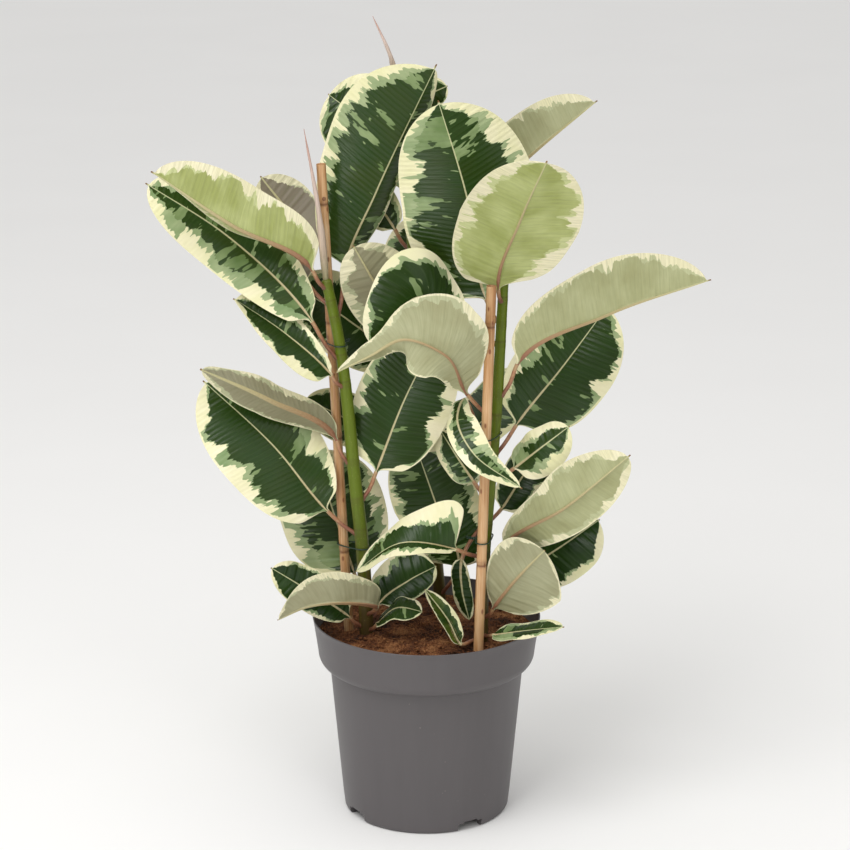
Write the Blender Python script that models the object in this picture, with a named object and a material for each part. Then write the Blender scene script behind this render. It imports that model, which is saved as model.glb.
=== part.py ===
"""Potted rubber plant: three stems of variegated Ficus elastica in a nursery pot, with two bamboo canes.

Units are metres, +Z is up, -Y is the front, and the origin is the middle of the pot's underside.
"""
import math

import bmesh
import bpy
from mathutils import Vector

MM = 0.001

# Pot: one moulded shell, turned about +Z.
POT_HEIGHT = 0.216
POT_RIM_RADIUS = 0.1213
POT_BAND_HEIGHT = 0.050
POT_BAND_LOW_RADIUS = 0.1152
POT_SHOULDER = 0.011
POT_BODY_TOP_RADIUS = 0.1036
POT_FOOT_RADIUS = 0.0885
POT_WALL = 0.0018
POT_CENTRE_RADIUS = 0.046
POT_CHANNEL_HEIGHT = 0.011
POT_FOOT_WIDTH = 0.009
POT_SEGMENTS = 36
FOOT_NOTCHES = 4
FOOT_NOTCH_WIDTH = 0.029
FOOT_NOTCH_HEIGHT = 0.0085
FOOT_NOTCH_TURN = -58.0
DRAIN_HOLES = 8
DRAIN_RADIUS = 0.0045

# Soil: the peat ball that fills the pot and carries the stems and canes in sockets.
SOIL_BELOW_RIM = 0.019
SOIL_DOME = 0.004
SOIL_DOME_RADIUS = 0.1213
CLEARANCE = 0.0003

# Stems: radius at the soil and at the top, and the centreline as (x, y, height above the soil) in mm.
STEMS = {
    "left": (8.0, 5.5, [(-64, -7, -60), (-64, -7, 0), (-67, -7, 85), (-76, -6, 180), (-83, -5, 260),
                        (-91, -4, 325), (-103, -3, 385)]),
    "right": (7.5, 5.0, [(58, -30, -60), (58, -30, 0), (60, -29, 90), (65, -28, 160), (73, -26, 265),
                         (77, -25, 350), (79, -24, 392)]),
    "back": (7.0, 4.5, [(15, 62, -60), (15, 62, 0), (6, 62, 115), (-3, 62, 240), (-11, 61, 350),
                        (-19, 60, 455), (-29, 60, 575)]),
}
STEM_SIDES = 10

# Canes: radius, and the two ends as (x, y, height above the soil) in mm.
CANES = {
    "left": (5.2, [(-77, 2, -120), (-108, 11, 506)]),
    "right": (5.4, [(51, -56, -120), (66, -46, 392)]),
}
CANE_SIDES = 12

# Ties: heights above the soil in mm, for the stem and cane of the same name.
TIES = {"left": (97, 318), "right": (118, 230)}
TIE_RADIUS = 0.9

# Bud sheaths: the pointed, rolled sheath on top of each stem, as (length, lean x, lean y, radius) in mm.
BUDS = {"left": (158, -21, 0, 4.0), "right": (45, 6, 2, 3.4), "back": (73, -26, 0, 3.2)}

# Leaf blade and petiole, in mm.
PETIOLE_RADIUS = 2.1
BLADE_THICKNESS = 1.1
EDGE_THICKNESS = 0.6
MIDRIB_DEPTH = 1.6
TIP_WIDTH = 0.6

# Leaves, from the soil up. Each is (name, stem, height of its node above the soil, route, left, right, bow):
# the route runs from the blade's base to its tip, as offsets in mm from the node; left and right are the
# chords of the two half blades at the widest place, from midrib to margin; bow is how far each half turns,
# in degrees, where a minus sign bends the margins down. A list of chords turns the blade along its length.
LEAVES = [
    ("left_01", "left", 6, [(12, -15, 10), (35, -27, 33), (60, -32, 30)], (5, 15, 6), (-5, -15, -8), -20),
    ("left_02", "left", 10, [(-18, -10, 12), (-60, -14, 43), (-100, -14, 69)], (-8, -12, -16), (10, 14, 16), -20),
    ("left_03", "left", 16, [(14, 6, 14), (45, 14, 38), (75, 22, 52)], (-18, 18, 20), (10, -15, -12), -20),
    ("left_04", "left", 24, [(12, -24, 14), (-25, -45, 28), (-60, -47, 24), (-92, -45, 8)],
     [(0, -9, 34), (0, -9, 36), (0, -6, 14)], [(0, 9, 30), (0, 9, 30), (0, 6, 12)], -10),
    ("left_05", "left", 40, [(-12, 20, 20), (-35, 45, 82), (-55, 52, 150)], (-55, 0, -15), (55, 5, 10), -15),
    ("left_06", "left", 113, [(-35, -2, 25), (-90, 0, 95), (-165, 25, 160)], (-40, -25, -35),
     [(32, 0, 28), (35, 20, 26), (35, 25, 25)], -20),
    ("left_07", "left", 149, [(20, 5, 30), (50, 20, 105), (85, 25, 175)], (-45, 5, 20), (45, -5, -20), -20),
    ("left_08", "left", 191, [(-17, -3, 25), (-85, -28, 76), (-155, -40, 113)],
     [(10, 10, 14), (6, 30, 8), (6, 38, 2)], (-6, 22, -24), -20),
    ("left_09", "left", 275, [(-14, -12, 14), (-60, -6, 56), (-115, 4, 92)],
     [(-16, -22, -22), (-10, -24, -12), (0, -20, -4)], [(7, -2, 8), (12, 8, 15), (15, 18, 24)], -20),
    ("left_10", "left", 304, [(-30, -4, 40), (-115, 20, 123), (-200, 15, 182)], (-25, -15, -25),
     [(15, 6, 24), (25, 20, 26), (25, 25, 25)], -20),
    ("left_11", "left", 345, [(10, 28, 48), (42, 38, 125), (105, 36, 260)],
     [(-46, 10, 10), (-60, 10, 22), (-84, 6, 52)], (16, 20, -8), -20),
    ("left_12", "left", 362, [(-25, 10, 20), (-40, 68, 70), (-76, 88, 115)],
     [(14, 8, 8), (24, 10, 16), (28, 10, 18)], (-30, 10, -20), -20),
    ("left_13", "left", 380, [(-15, -10, 20), (-95, -30, 72), (-175, -40, 130)], (25, 15, 35), (-8, 42, -12), -20),
    ("right_01", "right", 4, [(-22, -30, 4), (-35, -25, 28), (-60, -10, 58)], (-5, 5, -8), (8, 6, 5), 60),
    ("right_02", "right", 8, [(12, -20, 6), (40, -35, 16), (85, -50, 27)], (0, 20, 2), (0, -16, -2), -20),
    ("right_03", "right", 29, [(12, -12, 12), (42, -26, 58), (65, -20, 80)], [(22, 3, -44), (32, 4, -42), (30, 4, -34)],
     [(-10, 2, 16), (-27, 2, 26), (-28, 2, 26)], -20),
    ("right_04", "right", 52, [(35, 30, 10), (85, 40, 40), (125, 40, 70)], (-15, 20, 25), (20, -10, -30), -20),
    ("right_05", "right", 84, [(20, 0, 20), (85, -20, 72), (150, -30, 132)], (22, 0, -22),
     [(-10, 3, 14), (-15, 4, 24), (-23, 5, 32), (-20, 5, 28)], -20),
    ("right_06", "right", 95, [(-30, -22, 15), (-85, -30, 25), (-135, -10, -14)],
     [(0, -14, -4), (-3, -20, -6), (0, -14, -6)], [(34, 8, 90), (6, 22, 30), (0, 26, 12), (0, 18, 6)], -20),
    ("right_07", "right", 126, [(-25, 5, -36), (-25, 6, -70), (-17, 2, -104)], (9, 0, 4), (-10, 8, 0), -10),
    ("right_08", "right", 130, [(16, 36, 4), (46, 46, 48), (82, 54, 86)], (-16, 6, 14), (16, -6, -20), -20),
    ("right_09", "right", 157, [(-15, 30, 10), (-30, 40, 30), (-50, 50, 60)], (-15, 0, -10), (15, 10, 10), -20),
    ("right_10", "right", 178, [(25, 10, 10), (50, 5, 32), (82, 4, 58)], (-10, 12, 14), (12, -8, -24), -20),
    ("right_11", "right", 205, [(25, 25, 25), (74, 55, 80), (122, 65, 145)], (-40, 10, 25), (44, -10, -28), -20),
    ("right_12", "right", 218, [(-30, 6, 46), (-38, -24, 34), (-22, -58, 8), (28, -64, -28)],
     [(14, 8, 4), (17, 7, 11), (9, 3, 8)], [(-14, 5, -4), (-8, -8, -12), (-4, -7, -8)], -10),
    ("right_13", "right", 246, [(-30, -16, 30), (-55, -46, 82), (-95, -46, 97), (-130, -38, 77), (-165, -30, 57)],
     [(30, 0, 22), (42, -2, 46), (6, 0, 22), (0, 0, 9)], [(-20, 0, -10), (-12, -4, -32), (0, 18, -14), (0, 14, -4)],
     -10),
    ("right_14", "right", 270, [(20, -5, 35), (110, -15, 90), (215, -25, 130)],
     (5, 45, -5), [(-10, -5, 38), (-15, -5, 52), (-15, -5, 52)], -20),
    ("right_15", "right", 324, [(-42, 14, 22), (-80, 5, 50), (-135, -5, 0)], (0, 10, -45), (-10, 10, 48), -20),
    ("right_16", "right", 345, [(-15, 25, 20), (-35, 35, 125), (-65, 45, 225)], (-70, 15, 0), (70, 15, 15), -15),
    ("right_17", "right", 371, [(-5, -12, 15), (15, -50, 95), (40, -90, 165)], (65, 0, 5), (-65, 0, -5), -15),
    ("back_01", "back", 22, [(20, -25, 35), (-5, -35, 115), (-30, -35, 190)], (-50, 0, 10), (45, 0, 10), -20),
    ("back_02", "back", 95, [(10, 25, 20), (12, 80, 52), (8, 140, 72)], (-42, 0, 0), (42, 0, 0), -20),
    ("back_03", "back", 150, [(20, 20, 20), (75, 55, 65), (120, 95, 100)], (-30, 35, 5), (30, -35, 0), -20),
    ("back_04", "back", 182, [(-30, -15, 15), (-85, -15, 40), (-130, -20, 65)], (-10, -5, -25), (10, 5, 25), -20),
    ("back_05", "back", 250, [(-20, -5, 25), (-80, -8, 80), (-140, -8, 120)], (-20, -10, -35), (20, 20, 30), -20),
    ("back_06", "back", 277, [(-8, -25, 40), (-40, -48, 90), (-70, -58, 145)], (30, 10, 30), (-29, 0, -22), -20),
    ("back_07", "back", 300, [(0, 25, 25), (10, 75, 75), (15, 125, 115)], (-50, 5, 0), (50, 5, 5), -20),
    ("back_08", "back", 404, [(-18, 6, 20), (-40, 8, 52), (-66, 8, 86)], (-16, 0, -16), (14, 3, 16), -20),
    ("back_12", "back", 395, [(50, 12, 34), (118, 18, 101), (192, 22, 163)], (6, 50, 4), (-28, 5, 32), -20),
    ("back_09", "back", 445, [(-8, 28, 18), (-25, 80, 60), (-40, 135, 85)], (-45, -15, 5), (45, 15, 0), -20),
    ("back_10", "back", 483, [(-15, 14, 25), (-48, 35, 53), (-82, 52, 76)], (-28, -5, -35), (28, 0, 38), -20),
    ("back_11", "back", 531, [(8, 4, 12), (27, 8, 35), (47, 8, 45)], (-5, 5, 15), (5, 0, -15), -20),
]

# Places along a blade, from base to tip, where it has a cross-section.
BLADE_STATIONS = (0.0, 0.04, 0.12, 0.26, 0.42, 0.60, 0.76, 0.90, 1.0)
# Points across a blade, from left margin to right margin, and the matching points on a round petiole.
BLADE_ACROSS = (-1.0, -0.55, 0.0, 0.55, 1.0)
ROUND_TURNS = (162, 126, 90, 54, 18)

SOIL_TOP = POT_HEIGHT - SOIL_BELOW_RIM


def material(name, hex_colour, roughness, metallic=0.0):
    """A Principled material from an sRGB hex colour."""
    found = bpy.data.materials.get(name)
    if found:
        return found
    made = bpy.data.materials.new(name)
    made.use_nodes = True
    shader = made.node_tree.nodes["Principled BSDF"]
    parts = [int(hex_colour[i:i + 2], 16) / 255 for i in (1, 3, 5)]
    linear = [c / 12.92 if c < 0.04045 else ((c + 0.055) / 1.055) ** 2.4 for c in parts]
    shader.inputs["Base Color"].default_value = (*linear, 1)
    shader.inputs["Roughness"].default_value = roughness
    shader.inputs["Metallic"].default_value = metallic
    made.diffuse_color = (*linear, 1)
    return made


def add_object(name, bm, made_of, smooth=True):
    """Turns a finished bmesh into a named object with its material."""
    bmesh.ops.recalc_face_normals(bm, faces=bm.faces)
    mesh = bpy.data.meshes.new(name)
    bm.to_mesh(mesh)
    bm.free()
    if smooth:
        mesh.shade_smooth()
    mesh.materials.append(made_of)
    obj = bpy.data.objects.new(name, mesh)
    bpy.context.collection.objects.link(obj)
    return obj


def smooth_route(points, share):
    """The point at a share of the way along a smooth curve through the points, and its direction."""
    spans = len(points) - 1
    place = min(max(share, 0.0), 1.0) * spans
    span = min(int(place), spans - 1)
    u = place - span
    b, c = points[span], points[span + 1]
    a = points[span - 1] if span > 0 else b * 2 - c
    d = points[span + 2] if span + 2 < len(points) else c * 2 - b
    before, length, after = (b - a).length, (c - b).length, (d - c).length
    m0 = ((b - a) * (length / before) + (c - b) * (before / length)) * (length / (before + length))
    m1 = ((c - b) * (after / length) + (d - c) * (length / after)) * (length / (length + after))
    at = (b * (2 * u**3 - 3 * u**2 + 1) + m0 * (u**3 - 2 * u**2 + u)
          + c * (3 * u**2 - 2 * u**3) + m1 * (u**3 - u**2))
    along = b * (6 * u**2 - 6 * u) + m0 * (3 * u**2 - 4 * u + 1) + c * (6 * u - 6 * u**2) + m1 * (3 * u**2 - 2 * u)
    return at, along.normalized()


def above_soil(point):
    """A point given in mm, with its height above the soil, in metres from the origin."""
    return Vector((point[0] * MM, point[1] * MM, SOIL_TOP + point[2] * MM))


def route_at_height(points, height):
    """The share of the way along a rising route where it reaches a height above the soil, in mm."""
    low, high = 0.0, 1.0
    for _ in range(30):
        middle = (low + high) / 2
        if smooth_route(points, middle)[0].z < SOIL_TOP + height * MM:
            low = middle
        else:
            high = middle
    return low


def loft(bm, rings):
    """Skins a row of equal rings of points, with a face across each end."""
    rows = [[bm.verts.new(point) for point in ring] for ring in rings]
    count = len(rows[0])
    for low, high in zip(rows, rows[1:]):
        for i in range(count):
            bm.faces.new((low[i], low[(i + 1) % count], high[(i + 1) % count], high[i]))
    bm.faces.new(rows[0][::-1])
    bm.faces.new(rows[-1])


def ring_of(centre, along, radius, sides):
    """A circle of points round a centre, square to a direction."""
    side = along.cross(Vector((0, 1, 0))).normalized()
    other = along.cross(side)
    turns = [2 * math.pi * i / sides for i in range(sides)]
    return [centre + (side * math.cos(a) + other * math.sin(a)) * radius for a in turns]


def turned(profile, segments):
    """A closed solid of revolution about +Z; the profile starts and ends on the axis."""
    bm = bmesh.new()
    verts = [bm.verts.new((r, 0, z)) for r, z in profile]
    edges = [bm.edges.new(pair) for pair in zip(verts, verts[1:])]
    bmesh.ops.spin(bm, geom=verts + edges, cent=(0, 0, 0), axis=(0, 0, 1), angle=2 * math.pi,
                   steps=segments, use_merge=True)
    bmesh.ops.remove_doubles(bm, verts=bm.verts, dist=1e-6)
    return bm


def pot_outside():
    """The pot's outer profile, from the middle of the underside to the lip."""
    band_low = POT_HEIGHT - POT_BAND_HEIGHT
    step = POT_BAND_LOW_RADIUS - POT_BODY_TOP_RADIUS
    channel_in = POT_CENTRE_RADIUS + 0.003
    foot_in = POT_FOOT_RADIUS - POT_FOOT_WIDTH
    return [
        (0, 0),
        (POT_CENTRE_RADIUS, 0),
        (channel_in, POT_CHANNEL_HEIGHT),
        (foot_in - 0.001, POT_CHANNEL_HEIGHT),
        (foot_in, 0),
        (POT_FOOT_RADIUS - 0.002, 0),
        (POT_FOOT_RADIUS, 0.003),
        (POT_BODY_TOP_RADIUS, band_low - 0.003),
        (POT_BODY_TOP_RADIUS + step * 0.3, band_low),
        (POT_BODY_TOP_RADIUS + step * 0.75, band_low + POT_SHOULDER * 0.35),
        (POT_BAND_LOW_RADIUS, band_low + POT_SHOULDER),
        (POT_RIM_RADIUS, POT_HEIGHT - 0.001),
        (POT_RIM_RADIUS - 0.0008, POT_HEIGHT),
    ]


def pot_inside(inset):
    """The pot's inner profile from the lip down to the axis, set in by a further inset."""
    band_low = POT_HEIGHT - POT_BAND_HEIGHT
    step = POT_BAND_LOW_RADIUS - POT_BODY_TOP_RADIUS
    wall = POT_WALL + inset
    floor = POT_CHANNEL_HEIGHT + wall
    return [
        (POT_RIM_RADIUS - wall, POT_HEIGHT - 0.001),
        (POT_BAND_LOW_RADIUS - wall, band_low + POT_SHOULDER + wall * 0.3),
        (POT_BODY_TOP_RADIUS + step * 0.75 - wall * 0.8, band_low + POT_SHOULDER * 0.35 + wall * 0.8),
        (POT_BODY_TOP_RADIUS + step * 0.3 - wall * 0.8, band_low + wall * 0.7),
        (POT_BODY_TOP_RADIUS - wall, band_low - 0.003),
        (POT_FOOT_RADIUS + 0.0008 - wall, floor),
        (0, floor),
    ]


def cutter(name, bm):
    """A hidden helper that only cuts."""
    obj = add_object(name, bm, material("cutter", "#808080", 0.5), smooth=False)
    obj.hide_render = True
    obj.display_type = "WIRE"
    return obj


def cut(obj, tool):
    """Takes one object's volume out of another."""
    modifier = obj.modifiers.new("cut_" + tool.name, "BOOLEAN")
    modifier.operation = "DIFFERENCE"
    modifier.solver = "EXACT"
    modifier.object = tool


def build_pot():
    """The pot, with notches through the foot ring and drain holes through the floor's channel."""
    inner = pot_inside(0)
    lip = (POT_RIM_RADIUS - POT_WALL + 0.0006, POT_HEIGHT)
    bm = turned(pot_outside() + [lip] + inner, POT_SEGMENTS)
    pot = add_object("pot", bm, material("pot_plastic", "#6b6565", 0.45))
    notches = bmesh.new()
    for i in range(FOOT_NOTCHES):
        angle = math.radians(FOOT_NOTCH_TURN + 360 * i / FOOT_NOTCHES)
        made = bmesh.ops.create_cube(notches, size=1)["verts"]
        for v in made:
            x = POT_FOOT_RADIUS - 0.004 + v.co.x * 0.022
            y = v.co.y * FOOT_NOTCH_WIDTH
            z = (v.co.z + 0.5) * (FOOT_NOTCH_HEIGHT + 0.002) - 0.002
            v.co = (x * math.cos(angle) - y * math.sin(angle), x * math.sin(angle) + y * math.cos(angle), z)
    cut(pot, cutter("foot_notch_cutter", notches))
    drains = bmesh.new()
    middle = (POT_CENTRE_RADIUS + POT_FOOT_RADIUS - POT_FOOT_WIDTH) / 2 + 0.001
    for i in range(DRAIN_HOLES):
        angle = 2 * math.pi * (i + 0.5) / DRAIN_HOLES
        made = bmesh.ops.create_cone(drains, cap_ends=True, segments=12, radius1=DRAIN_RADIUS,
                                     radius2=DRAIN_RADIUS, depth=0.02)["verts"]
        bmesh.ops.translate(drains, verts=made, vec=(middle * math.cos(angle), middle * math.sin(angle),
                                                     POT_CHANNEL_HEIGHT))
    cut(pot, cutter("drain_hole_cutter", drains))
    return pot


def soil_height(x, y):
    """The soil's lumpy surface, lower beside the pot wall."""
    out = math.hypot(x, y) / SOIL_DOME_RADIUS
    lumps = 0.0012 * math.sin(70 * x + 2) * math.sin(85 * y) + 0.0008 * math.sin(150 * x) * math.sin(140 * y + 1)
    return SOIL_TOP + SOIL_DOME * (1 - out * out) - 0.002 + lumps


def build_soil():
    """The soil, turned to fit the pot's inside, with a lumpy top and a socket for each stem and cane."""
    inner = pot_inside(CLEARANCE)
    share = (SOIL_TOP - 0.003 - inner[1][1]) / (inner[0][1] - inner[1][1])
    edge = inner[1][0] + (inner[0][0] - inner[1][0]) * share
    rings = [(0, SOIL_TOP)] + [(edge * k, SOIL_TOP) for k in (0.25, 0.5, 0.75, 0.94)] + [(edge, SOIL_TOP - 0.003)]
    bm = turned(rings + inner[1:], POT_SEGMENTS)
    for v in bm.verts:
        if v.co.z > SOIL_TOP - 0.001:
            v.co.z = soil_height(v.co.x, v.co.y)
    bmesh.ops.triangulate(bm, faces=bm.faces)
    soil = add_object("soil", bm, material("peat_soil", "#3a2418", 0.95))
    sockets = bmesh.new()
    for radius, _, points in STEMS.values():
        add_rod(sockets, [above_soil(p) for p in points[:2]], radius * MM + CLEARANCE * 1.6, STEM_SIDES, 0.001, 0.03)
    for name, (radius, points) in CANES.items():
        ends = [above_soil(points[0]), cane_point(name, 25)]
        add_rod(sockets, ends, radius * MM + CLEARANCE * 1.6, CANE_SIDES, 0.001, 0)
    cut(soil, cutter("socket_cutter", sockets))
    return soil


def add_rod(bm, points, radius, sides, below, above):
    """A straight rod between two points, lengthened at its ends."""
    along = (points[1] - points[0]).normalized()
    loft(bm, [ring_of(points[0] - along * below, along, radius, sides),
              ring_of(points[1] + along * above, along, radius, sides)])


def build_stem(name):
    """One woody stem, lofted along its centreline and closed with a rounded shoot tip."""
    low, top, points = STEMS[name]
    route = [above_soil(p) for p in points]
    bm = bmesh.new()
    rings = []
    steps = 14
    for i in range(steps + 1):
        share = i / steps
        at, along = smooth_route(route, share)
        rings.append(ring_of(at, along, (low + (top - low) * share) * MM, STEM_SIDES))
    at, along = smooth_route(route, 1)
    rings.append(ring_of(at + along * top * 0.5 * MM, along, top * 0.75 * MM, STEM_SIDES))
    loft(bm, rings)
    return add_object("stem_" + name, bm, material("stem_bark", "#5f6a24", 0.5))


def cane_point(name, height):
    """A cane's centre at a height above the soil, in mm."""
    low, high = [above_soil(p) for p in CANES[name][1]]
    return low.lerp(high, (SOIL_TOP + height * MM - low.z) / (high.z - low.z))


def build_cane(name):
    """One bamboo cane, with a slight swelling at each joint."""
    radius, points = CANES[name]
    low, high = [above_soil(p) for p in points]
    along = (high - low).normalized()
    length = (high - low).length
    joints = int(length / 0.11)
    rings = [ring_of(low, along, radius * MM, CANE_SIDES)]
    for i in range(1, joints + 1):
        at = length * (i - 0.3) / joints
        for step, grow in ((-0.003, 1.0), (0.0, 1.05), (0.003, 1.0)):
            rings.append(ring_of(low + along * (at + step), along, radius * grow * MM, CANE_SIDES))
    rings.append(ring_of(high, along, radius * 0.96 * MM, CANE_SIDES))
    bm = bmesh.new()
    loft(bm, rings)
    return add_object("cane_" + name, bm, material("bamboo", "#c99a6c", 0.5))


def build_tie(name, index):
    """A wire tie looped round a stem and its cane, with clearance all round."""
    height = TIES[name][index]
    low, top, points = STEMS[name]
    route = [above_soil(p) for p in points]
    share = route_at_height(route, height)
    stem_at = smooth_route(route, share)[0]
    stem_out = (low + (top - low) * share + TIE_RADIUS) * MM + CLEARANCE * 1.6
    cane_at = cane_point(name, height)
    cane_out = (CANES[name][0] + TIE_RADIUS) * MM + CLEARANCE * 1.6
    gap = Vector((cane_at.x - stem_at.x, cane_at.y - stem_at.y, 0))
    facing = math.atan2(gap.y, gap.x)
    lean = math.acos(max(-1, min(1, (cane_out - stem_out) / gap.length)))
    path = []
    for i in range(9):
        a = facing - (math.pi - lean) + 2 * (math.pi - lean) * i / 8
        path.append(cane_at + Vector((math.cos(a), math.sin(a), 0)) * cane_out)
    for i in range(11):
        a = facing + (math.pi - lean) + 2 * lean * i / 10
        path.append(stem_at + Vector((math.cos(a), math.sin(a), 0)) * stem_out)
    centre = sum(path, Vector()) / len(path)
    bm = bmesh.new()
    rows = []
    for i, point in enumerate(path):
        out = (path[(i + 1) % len(path)] - path[i - 1]).normalized().cross(Vector((0, 0, 1)))
        turns = [2 * math.pi * k / 6 for k in range(6)]
        rows.append([bm.verts.new(point + (out * math.cos(a) + Vector((0, 0, 1)) * math.sin(a)) * TIE_RADIUS * MM)
                     for a in turns])
    for i, low_row in enumerate(rows):
        high_row = rows[(i + 1) % len(rows)]
        for k in range(6):
            bm.faces.new((low_row[k], low_row[(k + 1) % 6], high_row[(k + 1) % 6], high_row[k]))
    return add_object(f"tie_{name}_{('lower', 'upper')[index]}", bm, material("tie_wire", "#16281c", 0.6))


def build_bud(name):
    """The pointed sheath of the next leaf, standing on the stem's tip."""
    low, top, points = STEMS[name]
    route = [above_soil(p) for p in points]
    tip, along = smooth_route(route, 1)
    length, lean_x, lean_y, radius = BUDS[name]
    foot = tip + along * (top * 0.5 * MM + CLEARANCE)
    end = foot + Vector((lean_x, lean_y, length)) * MM
    middle = foot.lerp(end, 0.4) + Vector((lean_x, lean_y, 0)) * -0.12 * MM
    line = [foot, middle, end]
    rings = []
    for share, size in ((0, 0.62), (0.12, 1.0), (0.35, 0.95), (0.6, 0.62), (0.85, 0.3), (1.0, 0.1)):
        at, forward = smooth_route(line, share)
        rings.append(ring_of(at, along if share == 0 else forward, radius * size * MM, 8))
    bm = bmesh.new()
    loft(bm, rings)
    return add_object("bud_" + name, bm, material("bud_sheath", "#c9b3a8", 0.55))


def blade_width(t):
    """Half width at a share of the blade's length, as a share of the widest: oval, with a short drip tip."""
    u = min(t / 0.97, 1.0)
    oval = max(1 - abs(2 * u - 1) ** 2.4, 0.0) ** 0.55
    drip = 0.05 * (1 - t) / 0.1
    return max(oval, min(drip, 0.05))


def chord_at(chords, t):
    """The chord of a half blade at a share of its length."""
    if not isinstance(chords, list):
        return Vector(chords)
    place = t * (len(chords) - 1)
    i = min(int(place), len(chords) - 2)
    return Vector(chords[i]).lerp(Vector(chords[i + 1]), place - i)


def leaf_frame(chords, along, t):
    """One half blade's chord square to the midrib, in mm: its direction and its length."""
    chord = chord_at(chords, t)
    flat = chord - along * chord.dot(along)
    return flat.normalized(), flat.length


def half_blade_point(out, upper, reach, share, bow):
    """A point of a half blade that bends by the bow, and the upper side's normal there."""
    turn = math.radians(bow)
    if abs(turn) < 1e-4:
        return out * reach * share, upper
    arc = reach * (turn / 2) / math.sin(turn / 2)
    start = -turn / 2
    end = start + turn * share
    run = (math.sin(end) - math.sin(start)) / turn
    rise = (math.cos(start) - math.cos(end)) / turn
    point = (out * run + upper * rise) * arc
    normal = upper * math.cos(end) - out * math.sin(end)
    return point, normal


def leaf_line(stem, height, route):
    """The leaf's centreline from the stem's bark to the tip, and how much of it is petiole."""
    low, top, points = STEMS[stem]
    stem_route = [above_soil(p) for p in points]
    share = route_at_height(stem_route, height)
    node, up = smooth_route(stem_route, share)
    places = [node + Vector(p) * MM for p in route]
    away = places[0] - node
    away = (away - up * away.dot(up)).normalized()
    radius = (low + (top - low) * share) * MM
    start = node + away * (radius + CLEARANCE)
    knee = start.lerp(places[0], 0.35) + away * 0.002
    return [start, knee] + places, away


def leaf_rings(entry):
    """The rings of one leaf: a round petiole that widens into the blade."""
    _, stem, height, route, left, right, bow = entry
    line, away = leaf_line(stem, height, route)
    spans = len(line) - 1
    base = 2 / spans
    shares = [0.0, 1 / spans, 1.6 / spans]
    places = [(s, -1.0) for s in shares] + [(base + (1 - base) * t, t) for t in BLADE_STATIONS]
    rings = []
    for share, t in places:
        at, along = smooth_route(line, share)
        blade_t = max(t, 0.0)
        out_l, reach_l = leaf_frame(left, along, blade_t)
        out_r, reach_r = leaf_frame(right, along, blade_t)
        up_l = along.cross(out_l)
        up_r = out_r.cross(along)
        middle_up = (up_l + up_r).normalized()
        across = (out_r - out_l).normalized()
        thin = min(blade_t / 0.10, 1.0) if t >= 0 else 0.0
        width = blade_width(blade_t)
        petiole = PETIOLE_RADIUS * (1.25 if share == 0 else 1.0)
        upper, lower = [], []
        for s, turn in zip(BLADE_ACROSS, ROUND_TURNS):
            angle = math.radians(turn)
            round_out = across * math.cos(angle) * petiole
            round_up = middle_up * math.sin(angle) * petiole
            out, up, reach = (out_l, up_l, reach_l) if s < 0 else (out_r, up_r, reach_r)
            spread = max(width * abs(s), 0.0)
            point, normal = half_blade_point(out, up, reach, spread, bow)
            normal = middle_up if s == 0 else normal
            taper = 1 - 0.5 * blade_t
            edge = EDGE_THICKNESS if abs(s) == 1 else BLADE_THICKNESS
            ridge = MIDRIB_DEPTH * taper if s == 0 else 0
            floor_width = round_out * (1 - thin) + across * TIP_WIDTH * (s * thin)
            flat = point + floor_width if abs(s) > 0 else floor_width
            top_point = (round_up * (1 - thin) + flat + normal * edge / 2 * thin)
            low_point = (-round_up * (1 - thin) + flat - normal * (edge / 2 + ridge) * thin)
            upper.append(at + top_point * MM)
            lower.append(at + low_point * MM)
        ring = upper + lower[::-1]
        if share == 0:
            ring = [p + along * ((line[0] - p).dot(away) / along.dot(away)) for p in ring]
        rings.append(ring)
    return rings


def build_leaf(entry):
    """One leaf, petiole and blade, as one closed body."""
    bm = bmesh.new()
    loft(bm, leaf_rings(entry))
    bmesh.ops.triangulate(bm, faces=bm.faces)
    return add_object("leaf_" + entry[0], bm, material("rubber_plant_leaf", "#3f6a3c", 0.35))


def main():
    for obj in list(bpy.data.objects):
        bpy.data.objects.remove(obj, do_unlink=True)
    build_pot()
    build_soil()
    for name in STEMS:
        build_stem(name)
        build_bud(name)
    for name in CANES:
        build_cane(name)
        build_tie(name, 0)
        build_tie(name, 1)
    for entry in LEAVES:
        build_leaf(entry)


main()
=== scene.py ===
"""Potted rubber plant: the visible pieces of a variegated rubber plant in a nursery pot, on its CAD frame.

Metres, +Z up, -Y to the front. Each operator builds one piece, or one group of like pieces.
"""
import math
import random

import bmesh
import bpy
import numpy as np
from bpy.props import FloatProperty, FloatVectorProperty, IntProperty, PointerProperty
from mathutils import Euler, Matrix, Vector, noise


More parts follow.
